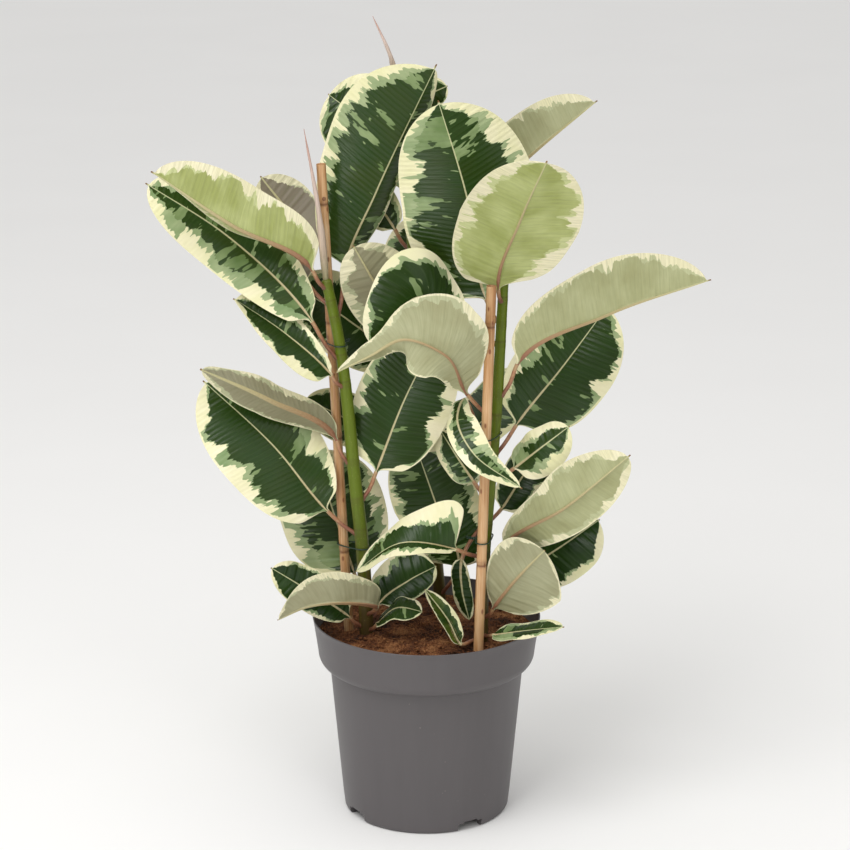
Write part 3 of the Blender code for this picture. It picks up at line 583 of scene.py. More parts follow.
def standing_places():
    """Where each stem and cane leaves the soil, as (x, y, radius)."""
    places = [(points[1][0] * MM, points[1][1] * MM, low * MM) for low, _, points in STEMS.values()]
    return places + [(cane_point(name, 0).x, cane_point(name, 0).y, CANES[name][0] * MM) for name in CANES]


def soil_spot(pick, reach):
    """A random place on the soil, spread evenly out to a reach from the middle."""
    out = reach * math.sqrt(pick.random())
    angle = pick.uniform(0, 2 * math.pi)
    return out * math.cos(angle), out * math.sin(angle)


def blocked(x, y, room, standing):
    """Whether a place lies nearer to a stem or cane than some room."""
    return any(math.hypot(x - tx, y - ty) < tr + room for tx, ty, tr in standing)


def build_bark_bits(settings, pick, standing):
    """Loose shreds of bark: most 1 to 5 mm long, and a few up to 9 mm."""
    bits = bmesh.new()
    for _ in range(settings.bits):
        x, y = soil_spot(pick, SOIL_HIGH.x - 0.004)
        if blocked(x, y, 0.003, standing):
            continue
        length = pick.uniform(0.0012, 0.0042) if pick.random() < 0.85 else pick.uniform(0.004, 0.0075)
        made = bmesh.ops.create_icosphere(bits, subdivisions=1, radius=1)["verts"]
        for v in made:
            v.co *= pick.uniform(0.7, 1.15)
        shape = Vector((length, length * pick.uniform(0.3, 0.75), length * pick.uniform(0.18, 0.5)))
        turn = Euler((pick.uniform(-0.7, 0.7), pick.uniform(-0.7, 0.7), pick.uniform(0, 6.3)))
        where = Vector((x, y, soil_height(x, y) + settings.lump * 0.3 + shape.z * 0.3))
        bmesh.ops.transform(bits, matrix=Matrix.LocRotScale(where, turn, shape * 0.6), verts=made)
    show("bark_bits", bits, None, "peat_soil", peat(settings, "bark_chips_shredded", 0.34))


def build_coir_fibres(settings, pick, standing):
    """Curled coir fibres, 6 to 16 mm long, that arch off the soil."""
    fibres = bmesh.new()
    for _ in range(settings.bits // 4):
        x, y = soil_spot(pick, SOIL_HIGH.x - 0.012)
        heading = pick.uniform(0, 2 * math.pi)
        if blocked(x, y, 0.012, standing):
            continue
        length, bend = pick.uniform(0.006, 0.016), pick.uniform(-1.2, 1.2)
        points = []
        for k in range(4):
            step = length * k / 3
            turn = heading + bend * k / 3
            px, py = x + math.cos(turn) * step, y + math.sin(turn) * step
            lift = settings.lump * (0.5 + 1.1 * math.sin(k / 3 * math.pi) * pick.random())
            points.append(Vector((px, py, soil_height(px, py) + lift)))
        path = [smooth_route(points, k / 6) for k in range(7)]
        sweep(fibres, [(at, along, FIBRE_RADIUS) for at, along in path], 4)
    smooth(fibres)
    bmesh.ops.recalc_face_normals(fibres, faces=fibres.faces)
    show("coir_fibres", fibres, None, "peat_soil", peat(settings, "coir_fibre_dry", 0.22))


def build_soil(settings):
    """The peat, and its loose bits scattered clear of the stems and canes."""
    build_peat(settings)
    pick = random.Random(BITS_SEED)
    standing = standing_places()
    build_bark_bits(settings, pick, standing)
    build_coir_fibres(settings, pick, standing)


# ---- Stems and sheaths ----

STEM_STEPS = 230
STEM_SIDES = 28
SHEATH_STEPS = 60
SHEATH_SIDES = 20


def bark(settings):
    """Living rubber plant bark: smooth, faintly waxy, green above, corky brown below, with pale pores."""
    made, tree, shader = new_material("rubber_plant_bark_waxy")
    place = add(tree, "TexCoord", out="Object")
    height = add(tree, "SeparateXYZ", {0: place}, out=2)
    stretched = add(tree, "Mapping", {"Vector": place, "Scale": (300, 300, 26)})
    streak = add(tree, "TexNoise", {"Vector": stretched, "Scale": 1.0, "Detail": 4.0, "Roughness": 0.65})
    age = add(tree, "MapRange", {"Value": height, "From Min": SOIL_TOP, "From Max": SOIL_TOP + 0.16})
    mixed = add(tree, "Math", {0: age, 1: add(tree, "Math", {0: streak, 1: 0.5}, operation="SUBTRACT")},
                operation="ADD")
    colour = add(tree, "ValToRGB", {"Fac": mixed},
                 ramp=[(0.0, settings.old), (0.3, linear("#594f1c")), (0.7, linear("#53610f")),
                       (1.0, settings.young)])
    ring = add(tree, "Attribute", attribute_name="node_ring", out="Fac")
    ringed = add(tree, "Mix", {0: ring, 6: colour, 7: linear("#4a3a1e")}, **COLOUR_MIX)
    # Lenticels: pale corky pores, 1 to 2 mm long.
    squeezed = add(tree, "Mapping", {"Vector": place, "Scale": (420, 420, 240)})
    pores = add(tree, "TexVoronoi", {"Vector": squeezed, "Scale": 1.0})
    spots = add(tree, "MapRange", {"Value": pores, "From Min": 0.20, "From Max": 0.13, "To Max": 0.25})
    final = add(tree, "Mix", {0: spots, 6: ringed, 7: linear("#a59a5c")}, **COLOUR_MIX)
    tree.links.new(final, shader.inputs["Base Color"])
    bump = add(tree, "Bump", {"Height": streak, "Strength": 0.35, "Distance": 0.0006})
    tree.links.new(bump, shader.inputs["Normal"])
    shader.inputs["Roughness"].default_value = 0.42
    shader.inputs["Specular IOR Level"].default_value = 0.3
    return made


def build_stem(name, settings, made_of):
    """One stem, swollen at each leaf's node, with the thin scar of the fallen sheath above it."""
    low, top, points = STEMS[name]
    route = [above_soil(p) for p in points]
    nodes = [height for _, stem, height, *_ in LEAVES if stem == name]
    path, marks = [], []
    for i in range(STEM_STEPS + 1):
        share = i / STEM_STEPS
        at, along = smooth_route(route, share)
        height = (at.z - SOIL_TOP) / MM
        swell = max((math.exp(-((height - n) / 3.2) ** 2) for n in nodes), default=0)
        scar = max((math.exp(-((height - n - 4.5) / 0.9) ** 2) for n in nodes), default=0)
        radius = (low + (top - low) * share) * MM
        path.append((at, along, radius * (1 + settings.ring_swell * swell + 0.03 * scar)))
        marks.append(min(1.0, 0.2 * swell + 0.45 * scar))
    # The tip is rounded under the sheath.
    at, along = smooth_route(route, 1)
    for up, size in ((0.25, 0.95), (0.45, 0.8), (0.55, 0.5)):
        path.append((at + along * top * up * MM, along, top * size * MM))
        marks.append(0.3)
    bm = bmesh.new()
    sweep(bm, path, STEM_SIDES)
    ring = bm.verts.layers.float.new("node_ring")
    bm.verts.ensure_lookup_table()
    for i, v in enumerate(bm.verts):
        v[ring] = marks[min(i // STEM_SIDES, len(marks) - 1)]
    bmesh.ops.recalc_face_normals(bm, faces=bm.faces)
    smooth(bm)
    show("living_stem_" + name, bm, "stem_" + name, "stem_bark", made_of)


def sheath_skin(settings):
    """Stipule sheath: thin, papery and pale pink, greener at the foot, with fine lengthwise veins."""
    made, tree, shader = new_material("stipule_sheath_papery")
    place = add(tree, "TexCoord", out="Object")
    lines = add(tree, "Mapping", {"Vector": place, "Scale": (900, 900, 30)})
    veins = add(tree, "TexNoise", {"Vector": lines, "Scale": 1.0, "Detail": 3.0})
    along = add(tree, "Attribute", attribute_name="along", out="Fac")
    base = add(tree, "ValToRGB", {"Fac": along},
               ramp=[(0.0, linear("#8f8a63")), (0.25, linear("#b9a58f")), (0.7, settings.colour),
                     (1.0, linear("#b98a7a"))])
    dark = add(tree, "MapRange", {"Value": veins, "From Min": 0.35, "From Max": 0.65, "To Min": 0.85,
                                  "To Max": 1.08})
    colour = add(tree, "VectorMath", {0: base, "Scale": dark}, operation="SCALE")
    tree.links.new(colour, shader.inputs["Base Color"])
    bump = add(tree, "Bump", {"Height": veins, "Strength": 0.4, "Distance": 0.0004})
    tree.links.new(bump, shader.inputs["Normal"])
    shader.inputs["Roughness"].default_value = 0.5
    return made


def build_sheath(name, made_of):
    """The long rolled sheath on a stem's tip, pointed, with the spiral seam of its roll."""
    _, top, points = STEMS[name]
    tip, along = smooth_route([above_soil(p) for p in points], 1)
    length, lean_x, lean_y, radius = BUDS[name]
    foot = tip + along * (top * 0.4 * MM)
    end = foot + Vector((lean_x, lean_y, length)) * MM
    middle = foot.lerp(end, 0.4) + Vector((lean_x, lean_y, 0)) * -0.12 * MM
    sizes = [(0, 0.62), (0.12, 1.0), (0.35, 0.95), (0.6, 0.62), (0.85, 0.3), (1.0, 0.08)]
    path, shares = [], []
    for i in range(SHEATH_STEPS + 1):
        share = i / SHEATH_STEPS
        for (a, low_size), (b, high_size) in zip(sizes, sizes[1:]):
            if a <= share <= b:
                u = (share - a) / (b - a)
                size = low_size + (high_size - low_size) * (3 * u * u - 2 * u**3)
        at, forward = smooth_route([foot, middle, end], share)
        path.append((at, forward, radius * size * MM))
        shares.append(share)
    bm = bmesh.new()
    sweep(bm, path, SHEATH_SIDES)
    mark = bm.verts.layers.float.new("along")
    bm.verts.ensure_lookup_table()
    for i, v in enumerate(bm.verts):
        ring, k = divmod(i, SHEATH_SIDES)
        share = shares[min(ring, SHEATH_STEPS)]
        v[mark] = share
        centre = path[min(ring, SHEATH_STEPS)][0]
        seam = (k / SHEATH_SIDES + share * 1.1) % 1.0
        v.co = centre + (v.co - centre) * (1.0 + 0.16 * (seam - 0.5))
    bmesh.ops.recalc_face_normals(bm, faces=bm.faces)
    smooth(bm, 40)
    show("rolled_sheath_" + name, bm, "bud_" + name, "bud_sheath", made_of)


# ---- Canes and ties ----

CANE_STEPS = 240
CANE_SIDES = 24
LOOP_STEPS = 12
TWIST_STEPS = 24
TWIST_TURNS = 2.5


def bamboo(settings):
    """Tonkin bamboo, dried: silky tan skin with fine fibres, browned joints and rust spots."""
    made, tree, shader = new_material("tonkin_bamboo_dried")
    place = add(tree, "TexCoord", out="Object")
    lines = add(tree, "Mapping", {"Vector": place, "Scale": (700, 700, 9)})
    fibre = add(tree, "TexNoise", {"Vector": lines, "Scale": 1.0, "Detail": 4.0, "Roughness": 0.6})
    wide = add(tree, "Mapping", {"Vector": place, "Scale": (60, 60, 12)})
    blotch = add(tree, "TexNoise", {"Vector": wide, "Scale": 1.0, "Detail": 3.0})
    tone = add(tree, "Math", {0: fibre, 1: blotch}, operation="ADD")
    colour = add(tree, "ValToRGB", {"Fac": add(tree, "Math", {0: tone, 1: 0.5}, operation="MULTIPLY")},
                 ramp=[(0.33, linear("#98643c")), (0.46, linear("#b98858")), (0.56, settings.colour),
                       (0.68, linear("#e0c196"))])
    ring = add(tree, "Attribute", attribute_name="joint", out="Fac")
    jointed = add(tree, "Mix", {0: ring, 6: colour, 7: linear("#6b3f22")}, **COLOUR_MIX)
    cells = add(tree, "Mapping", {"Vector": place, "Scale": (95, 95, 45)})
    spots = add(tree, "TexVoronoi", {"Vector": cells, "Scale": 1.0})
    rust = add(tree, "MapRange", {"Value": spots, "From Min": 0.16, "From Max": 0.09, "To Max": 0.8})
    final = add(tree, "Mix", {0: rust, 6: jointed, 7: linear("#7a3f20")}, **COLOUR_MIX)
    tree.links.new(final, shader.inputs["Base Color"])
    bump = add(tree, "Bump", {"Height": fibre, "Strength": 0.3, "Distance": 0.0004})
    tree.links.new(bump, shader.inputs["Normal"])
    shader.inputs["Roughness"].default_value = 0.38
    return made


def build_cane(name, settings, made_of):
    """One bamboo cane: a ridge and a sheath scar at each joint, a bud eye on it, and a sawn, hollow top."""
    radius, points = CANES[name]
    low, high = [above_soil(p) for p in points]
    along = (high - low).normalized()
    length = (high - low).length
    count = int(length / settings.joint_gap)
    joints = [length * (i - 0.3) / count for i in range(1, count + 1)]
    path, marks = [], []
    for i in range(CANE_STEPS + 1):
        run = length * i / CANE_STEPS
        ridge = max(math.exp(-((run - j) / 0.0019) ** 2) for j in joints)
        groove = max(math.exp(-((run - j + 0.0042) / 0.0016) ** 2) for j in joints)
        taper = 1.0 - 0.05 * i / CANE_STEPS
        path.append((low + along * run, along, radius * MM * (taper + 0.055 * ridge - 0.035 * groove)))
        marks.append(min(1.0, 0.9 * groove + 0.35 * ridge))
    bm = bmesh.new()
    caps = sweep(bm, path, CANE_SIDES)
    ring = bm.verts.layers.float.new("joint")
    bm.verts.ensure_lookup_table()
    for i, v in enumerate(bm.verts):
        v[ring] = marks[min(i // CANE_SIDES, CANE_STEPS)]
    # The sawn top shows the bamboo's hollow.
    top = max(caps, key=lambda face: face.calc_center_median().z)
    bmesh.ops.inset_region(bm, faces=[top], thickness=radius * MM * 0.45, use_even_offset=True)
    bmesh.ops.translate(bm, verts=top.verts, vec=-along * 0.006)
    for k, j in enumerate(joints):
        side = Matrix.Rotation(2.4 * k - 1.2, 3, along) @ along.orthogonal().normalized()
        if k % 2 == 0:
            side = Vector((0.25 - 0.5 * (k % 4), -1, 0)).normalized()
        eye = bmesh.ops.create_uvsphere(bm, u_segments=12, v_segments=8, radius=1)["verts"]
        place = Matrix.LocRotScale(low + along * (j + 0.002) + side * radius * MM * 0.86,
                                   side.to_track_quat("Z", "Y"), Vector((0.0021, 0.0026, 0.0013)))
        bmesh.ops.transform(bm, matrix=place, verts=eye)
        for v in eye:
            v[ring] = 0.8
    bmesh.ops.recalc_face_normals(bm, faces=bm.faces)
    smooth(bm, 50)
    show("bamboo_" + name, bm, "cane_" + name, "bamboo", made_of)


def coated_wire(settings):
    """Garden tie wire in a dark green plastic coat, half glossy, with the streaks of its drawing."""
    made, tree, shader = new_material("tie_wire_pvc_coated")
    place = add(tree, "TexCoord", out="Object")
    streak = add(tree, "TexNoise", {"Vector": place, "Scale": 500.0, "Detail": 2.0})
    colour = add(tree, "Mix", {0: streak, 6: settings.colour, 7: linear("#24402c")}, **COLOUR_MIX)
    tree.links.new(colour, shader.inputs["Base Color"])
    shader.inputs["Roughness"].default_value = 0.35
    return made


def tie_points(name, height, wire):
    """The wire's route: one twisted end, the loop round stem and cane, and the other twisted end."""
    low, top, points = STEMS[name]
    route = [above_soil(p) for p in points]
    share = route_at_height(route, height)
    stem_at = smooth_route(route, share)[0]
    stem_out = (low + (top - low) * share) * MM + wire + 0.0005
    cane_at = cane_point(name, height)
    cane_out = CANES[name][0] * MM + wire + 0.0004
    gap = Vector((cane_at.x - stem_at.x, cane_at.y - stem_at.y, 0))
    facing = math.atan2(gap.y, gap.x)
    lean = math.acos((cane_out - stem_out) / gap.length)
    back = math.pi - lean
    turns = [(cane_at, cane_out, facing - back + 2 * back * i / LOOP_STEPS) for i in range(LOOP_STEPS + 1)]
    turns += [(stem_at, stem_out, facing + back + 2 * lean * i / LOOP_STEPS) for i in range(LOOP_STEPS + 1)]
    loop = [c + Vector((math.cos(a), math.sin(a), 0)) * r for c, r, a in turns]
    # The loop starts on its flat side, and its ends stand off that side, twisted round each other.
    start = (loop[-1] + loop[0]) / 2
    outward = (loop[0] - loop[-1]).normalized().cross(Vector((0, 0, 1)))
    across = Vector((0, 0, 1))
    side = (loop[0] - start).normalized()
    twist = []
    for i in range(TWIST_STEPS + 1):
        u = i / TWIST_STEPS
        a = 2 * math.pi * TWIST_TURNS * u
        middle = start + outward * (0.0012 + 0.010 * u) + across * 0.0012 * u**2
        twist.append((middle, side * math.cos(a) * wire + across * math.sin(a) * wire))
    return [m - o for m, o in reversed(twist)] + loop + [m + o for m, o in twist]


def build_tie(name, index, settings, made_of):
    """A wire looped round stem and cane, its two ends twisted together."""
    points = tie_points(name, TIES[name][index], settings.wire)
    steps = len(points) * 2
    path = [smooth_route(points, i / steps) for i in range(steps + 1)]
    bm = bmesh.new()
    sweep(bm, [(at, along, settings.wire * 0.85) for at, along in path], 8)
    bmesh.ops.recalc_face_normals(bm, faces=bm.faces)
    smooth(bm, 60)
    full = f"{name}_{('lower', 'upper')[index]}"
    show("wire_tie_" + full, bm, "tie_" + full, "tie_wire", made_of)


# ---- Leaves ----

# Points across a half blade, and rings along the stalk and the blade.
ACROSS = 17
STALK_RINGS = 14
BLADE_RINGS = 92
# How far a side vein falls back towards the base on its way out, and the gaps between the fine side veins of
# the skin and between the broader ripples of the blade.
VEIN_SLOPE = 0.27
VEIN_GAP = 0.0052
RIPPLE_GAP = 0.0092
# Moves the variegation on from leaf to leaf, so that no two are alike.
SEED_STEP = 2.63


def leaf_pattern(tree):
    """The variegation that both sides of a leaf share. Its edges follow the side veins."""
    spot = add(tree, "Attribute", attribute_name="vein_place", out="Vector")
    vein, out, t = add(tree, "SeparateXYZ", {0: spot}).node.outputs
    look = add(tree, "Attribute", attribute_name="leaf_look", out="Vector")
    youth, cream, patches = add(tree, "SeparateXYZ", {0: look}).node.outputs
    seed = add(tree, "Attribute", attribute_name="leaf_seed", out="Fac")
    share = add(tree, "Attribute", attribute_name="share", out="Fac")
    side = add(tree, "Math", {0: out}, operation="SIGN")
    away = add(tree, "Math", {0: out}, operation="ABSOLUTE")
    lane = add(tree, "Math", {0: side, 1: 0.9, 2: seed}, operation="MULTIPLY_ADD")
    found = {}
    # (cell size in mm along the midrib, how much the pattern changes outwards, detail, roughness)
    for name, size, outwards, detail, rough, shift in (
            ("broad", 42, 0.10, 1.5, 0.5, 0.0), ("comb", 4.6, 0.06, 2.5, 0.65, 3.7),
            ("patch", 17, 0.30, 3.0, 0.62, 7.1), ("tone", 30, 0.8, 3.0, 0.5, 11.3),
            ("fine", 1.1, 0.05, 2.0, 0.5, 15.9), ("wedge", 11, 0.18, 2.0, 0.55, 21.0)):
        drift = add(tree, "Math", {0: away, 1: outwards}, operation="MULTIPLY")
        lift = add(tree, "Math", {0: lane, 1: shift}, operation="ADD")
        cell = add(tree, "CombineXYZ", {0: vein, 1: lift, 2: drift})
        found[name] = add(tree, "TexNoise", {"Vector": cell, "Scale": 1000 / size, "Detail": detail,
                                             "Roughness": rough})
    # How far out the dark green reaches: less near base and tip and where the cream margin is wide.
    reach = add(tree, "Math", {0: cream, 1: -0.42, 2: 0.92}, operation="MULTIPLY_ADD")
    for name, weight in (("broad", 1.15), ("comb", 0.42), ("wedge", 0.45)):
        centred = add(tree, "Math", {0: found[name], 1: 0.5}, operation="SUBTRACT")
        reach = add(tree, "Math", {0: centred, 1: weight, 2: reach}, operation="MULTIPLY_ADD")
    near_tip = add(tree, "MapRange", {"Value": t, "From Min": 0.78, "From Max": 1.0, "To Max": 0.55})
    near_base = add(tree, "MapRange", {"Value": t, "From Min": 0.14, "From Max": 0.0, "To Max": 0.25})
    reach = add(tree, "Math", {0: reach, 1: near_tip}, operation="SUBTRACT")
    reach = add(tree, "Math", {0: reach, 1: near_base}, operation="SUBTRACT")
    reach = add(tree, "Math", {0: reach, 1: 0.93, 2: 0.05}, operation="SMOOTH_MIN")
    inside = add(tree, "Math", {0: reach, 1: share}, operation="SUBTRACT")
    found["dark"] = add(tree, "MapRange", {"Value": inside, "From Min": -0.006, "From Max": 0.010})
    # The grey green layer shows past the dark edge, in wedges between the side veins.
    spare = add(tree, "MapRange", {"Value": found["patch"], "From Min": 0.42, "From Max": 0.70,
                                   "To Min": 0.01, "To Max": 0.55})
    share_of_patches = add(tree, "Math", {0: patches, 1: 1.5}, operation="MULTIPLY")
    spare = add(tree, "Math", {0: spare, 1: share_of_patches}, operation="MULTIPLY")
    further = add(tree, "Math", {0: inside, 1: spare}, operation="ADD")
    room = add(tree, "Math", {0: 0.96, 1: share}, operation="SUBTRACT")
    further = add(tree, "Math", {0: further, 1: room}, operation="MINIMUM")
    found["grey"] = add(tree, "MapRange", {"Value": further, "From Min": -0.006, "From Max": 0.010})
    # It also shows through the dark as streaks that start at the midrib.
    level = add(tree, "Math", {0: patches, 1: -0.15, 2: 0.685}, operation="MULTIPLY_ADD")
    above = add(tree, "Math", {0: found["patch"], 1: level}, operation="SUBTRACT")
    found["streak"] = add(tree, "MapRange", {"Value": above, "From Min": 0.0, "From Max": 0.008})
    # Fine side veins.
    waves = add(tree, "Math", {0: vein, 1: 2 * math.pi / VEIN_GAP, 2: found["tone"]},
                operation="MULTIPLY_ADD")
    found["vein"] = add(tree, "Math", {0: waves}, operation="SINE")
    # The midrib narrows from base to tip.
    width = add(tree, "MapRange", {"Value": t, "To Min": 0.00135, "To Max": 0.0003})
    within = add(tree, "Math", {0: width, 1: away}, operation="SUBTRACT")
    found["rib"] = add(tree, "MapRange", {"Value": within, "From Min": -0.0002, "From Max": 0.0002})
    found["dry_tip"] = add(tree, "MapRange", {"Value": t, "From Min": 0.984, "From Max": 0.994})
    found.update(t=t, youth=youth, share=share, away=away)
    return found


def leaf_relief(tree, shader, found, strength):
    """The ripples of the side veins and the fine grain of the skin."""
    height = add(tree, "Math", {0: found["vein"], 1: 0.5, 2: found["fine"]}, operation="MULTIPLY_ADD")
    bump = add(tree, "Bump", {"Height": height, "Strength": strength, "Distance": 0.0003})
    tree.links.new(bump, shader.inputs["Normal"])


def leaf_upper(settings):
    """Upper side: a thick, waxed cuticle with a satin gloss; dark green, grey green and cream cell layers."""
    made, tree, shader = new_material("rubber_leaf_upper_waxed")
    found = leaf_pattern(tree)
    tone = add(tree, "MapRange", {"Value": found["tone"], "From Min": 0.35, "From Max": 0.65})
    cream = add(tree, "Mix", {0: tone, 6: settings.cream, 7: linear("#e3e0b0")}, **COLOUR_MIX)
    grey = add(tree, "Mix", {0: tone, 6: settings.grey, 7: linear("#a3b083")}, **COLOUR_MIX)
    young_dark = add(tree, "Mix", {0: found["youth"], 6: settings.dark, 7: linear("#5c6c27")}, **COLOUR_MIX)
    dark = add(tree, "Mix", {0: tone, 6: young_dark, 7: linear("#273f14")}, **COLOUR_MIX)
    lines = add(tree, "MapRange", {"Value": found["vein"], "From Min": 0.8, "From Max": 1.0, "To Max": 0.12})
    dark = add(tree, "Mix", {0: lines, 6: dark, 7: linear("#4f6636")}, **COLOUR_MIX)
    colour = add(tree, "Mix", {0: found["grey"], 6: cream, 7: grey}, **COLOUR_MIX)
    colour = add(tree, "Mix", {0: found["dark"], 6: colour, 7: dark}, **COLOUR_MIX)
    inner = add(tree, "Math", {0: found["streak"], 1: found["dark"]}, operation="MULTIPLY")
    paler = add(tree, "Mix", {0: tone, 6: linear("#5f7742"), 7: linear("#8b9d6c")}, **COLOUR_MIX)
    colour = add(tree, "Mix", {0: inner, 6: colour, 7: paler}, **COLOUR_MIX)
    ribbed = add(tree, "Mix", {0: found["t"], 6: linear("#bfae86"), 7: linear("#c2c898")}, **COLOUR_MIX)
    colour = add(tree, "Mix", {0: found["rib"], 6: colour, 7: ribbed}, **COLOUR_MIX)
    colour = add(tree, "Mix", {0: found["dry_tip"], 6: colour, 7: linear("#7b5630")}, **COLOUR_MIX)
    tree.links.new(colour, shader.inputs["Base Color"])
    leaf_relief(tree, shader, found, 0.65)
    gloss = add(tree, "MapRange", {"Value": found["dark"], "To Min": 0.38, "To Max": 0.27})
    tree.links.new(gloss, shader.inputs["Roughness"])
    shader.inputs["IOR"].default_value = 1.45
    shader.inputs["Specular IOR Level"].default_value = 0.3
    return made


def leaf_under(settings):
    """Lower side: matt and pale, the green layers showing through grey, with a stout reddish midrib."""
    made, tree, shader = new_material("rubber_leaf_underside_matt")
    found = leaf_pattern(tree)
    tone = add(tree, "MapRange", {"Value": found["tone"], "From Min": 0.35, "From Max": 0.65})
    # Young undersides are a paler yellow green, and these young colours are lifted further as painted light
    # shining through the blade.
    young = add(tree, "Mix", {0: tone, 6: linear("#98a154"), 7: linear("#b4bc78")}, **COLOUR_MIX)
    grown = add(tree, "Mix", {0: tone, 6: settings.under, 7: linear("#adad88")}, **COLOUR_MIX)
    # Below zero the underside turns to the browned old colour, which is painted shade for undersides that sit
    # in shadow.
    age = add(tree, "Math", {0: found["youth"], 1: -1.0}, operation="MULTIPLY")
    old = add(tree, "Mix", {0: age, 6: grown, 7: linear("#807562")}, **COLOUR_MIX)
    inner = add(tree, "Mix", {0: found["youth"], 6: old, 7: young}, **COLOUR_MIX)
    grey = add(tree, "Mix", {0: found["youth"], 6: linear("#b6b892"), 7: linear("#c4ca8e")}, **COLOUR_MIX)
    cream = add(tree, "Mix", {0: tone, 6: linear("#ebe4c2"), 7: linear("#e5dfb6")}, **COLOUR_MIX)
    colour = add(tree, "Mix", {0: found["grey"], 6: cream, 7: grey}, **COLOUR_MIX)
    colour = add(tree, "Mix", {0: found["dark"], 6: colour, 7: inner}, **COLOUR_MIX)
    ripple = add(tree, "MapRange", {"Value": found["vein"], "From Min": -0.2, "From Max": 1.0,
                                    "To Max": 0.07})
    lines = add(tree, "MapRange", {"Value": found["fine"], "From Min": 0.42, "From Max": 0.75,
                                   "To Max": 0.30})
    lines = add(tree, "Math", {0: lines, 1: ripple}, operation="ADD")
    colour = add(tree, "Mix", {0: lines, 6: colour, 7: linear("#7c8058")}, **COLOUR_MIX)
    wide = add(tree, "MapRange", {"Value": found["t"], "To Min": 0.0016, "To Max": 0.0004})
    within = add(tree, "Math", {0: wide, 1: found["away"]}, operation="SUBTRACT")
    rib = add(tree, "MapRange", {"Value": within, "From Min": -0.0003, "From Max": 0.0002})
    ribbed = add(tree, "ValToRGB", {"Fac": found["t"]},
                 ramp=[(0.0, settings.stalk), (0.22, linear("#a07f5c")), (0.6, linear("#b3a67a")),
                       (1.0, linear("#bdb98a"))])
    colour = add(tree, "Mix", {0: rib, 6: colour, 7: ribbed}, **COLOUR_MIX)
    colour = add(tree, "Mix", {0: found["dry_tip"], 6: colour, 7: linear("#7b5630")}, **COLOUR_MIX)
    tree.links.new(colour, shader.inputs["Base Color"])
    leaf_relief(tree, shader, found, 0.45)
    shader.inputs["Roughness"].default_value = 0.5
    shader.inputs["IOR"].default_value = 1.45
    return made


def stalk_skin(settings):
    """Leaf stalk: smooth and waxy, reddish brown, paler and greener towards the blade, finely streaked."""
    made, tree, shader = new_material("leaf_stalk_waxy")
    spot = add(tree, "Attribute", attribute_name="vein_place", out="Vector")
    t = add(tree, "SeparateXYZ", {0: spot}, out=2)
    place = add(tree, "TexCoord", out="Object")
    streak = add(tree, "TexNoise", {"Vector": place, "Scale": 260.0, "Detail": 3.0})
    drift = add(tree, "Math", {0: streak, 1: 0.5}, operation="SUBTRACT")
    mixed = add(tree, "Math", {0: drift, 1: t}, operation="ADD")
    colour = add(tree, "ValToRGB", {"Fac": add(tree, "Math", {0: mixed, 1: 1.0}, operation="ADD")},
                 ramp=[(0.0, linear("#6f4a32")), (0.35, settings.stalk), (0.8, linear("#a97a58")),
                       (1.0, linear("#b0906a"))])
    tree.links.new(colour, shader.inputs["Base Color"])
    shader.inputs["Roughness"].default_value = 0.4
    return made


def blade_width(t):
    """Half width at a share of the blade's length, as a share of the widest: oval, with a short drip tip."""
    u = min(t / 0.98, 1.0)
    oval = max(1 - abs(2 * u - 1) ** 2.4, 0.0) ** 0.55
    return max(oval, min(0.05 * (1 - t) / 0.1, 0.05))


def chord_at(chords, t):
    """The chord of a half blade at a share of its length, turning smoothly from one to the next."""
    if not isinstance(chords, list):
        return Vector(chords)
    place = t * (len(chords) - 1)
    i = min(int(place), len(chords) - 2)
    u = place - i
    b, c = Vector(chords[i]), Vector(chords[i + 1])
    a = Vector(chords[i - 1]) if i > 0 else b * 2 - c
    d = Vector(chords[i + 2]) if i + 2 < len(chords) else c * 2 - b
    return b + ((c - a) * u + (a * 2 - b * 5 + c * 4 - d) * u**2 + (b * 3 - a - c * 3 + d) * u**3) * 0.5


def leaf_line(stem, height, route):
    """The leaf's centreline from inside the stem's bark to the tip."""
    low, top, points = STEMS[stem]
    stem_route = [above_soil(p) for p in points]
    share = route_at_height(stem_route, height)
    node, up = smooth_route(stem_route, share)
    places = [node + Vector(p) * MM for p in route]
    away = places[0] - node
    away = (away - up * away.dot(up)).normalized()
    radius = (low + (top - low) * share) * MM
    start = node + away * (radius - 0.0012)
    knee = start.lerp(places[0], 0.35) + away * 0.002
    return [start, knee] + places


def across_shares(half_width):
    """Shares of a half blade from midrib to margin: close together over the midrib and at the very edge."""
    shares = []
    for k in range(ACROSS):
        near = (0.0, 0.55, 1.1, 1.8, 2.8)[k] * MM / max(half_width, 1e-5) if k < 5 else 1.0
        shares.append(min(near, k / (ACROSS - 1)))
    start = shares[4]
    for k in range(5, ACROSS - 1):
        shares[k] = start + (1 - start) * ((k - 4) / (ACROSS - 5)) ** 0.92
    shares[ACROSS - 2] = max(shares[ACROSS - 3] + 0.001, min(1 - 0.6 * MM / max(half_width, 6e-4), 0.995))
    shares[ACROSS - 1] = 1.0
    return np.array(shares)


def half_blade(out, upper, reach, width, shares, bow):
    """Points of a half blade bent by the bow, and the upper side's normals there, for a row of shares."""
    turn = math.radians(bow)
    arc = reach * (turn / 2) / math.sin(turn / 2)
    end = -turn / 2 + turn * shares * width
    run = (np.sin(end) - math.sin(-turn / 2)) / turn * arc
    rise = (math.cos(turn / 2) - np.cos(end)) / turn * arc
    points = np.outer(run, out) + np.outer(rise, upper)
    return points, np.outer(np.cos(end), upper) - np.outer(np.sin(end), out)


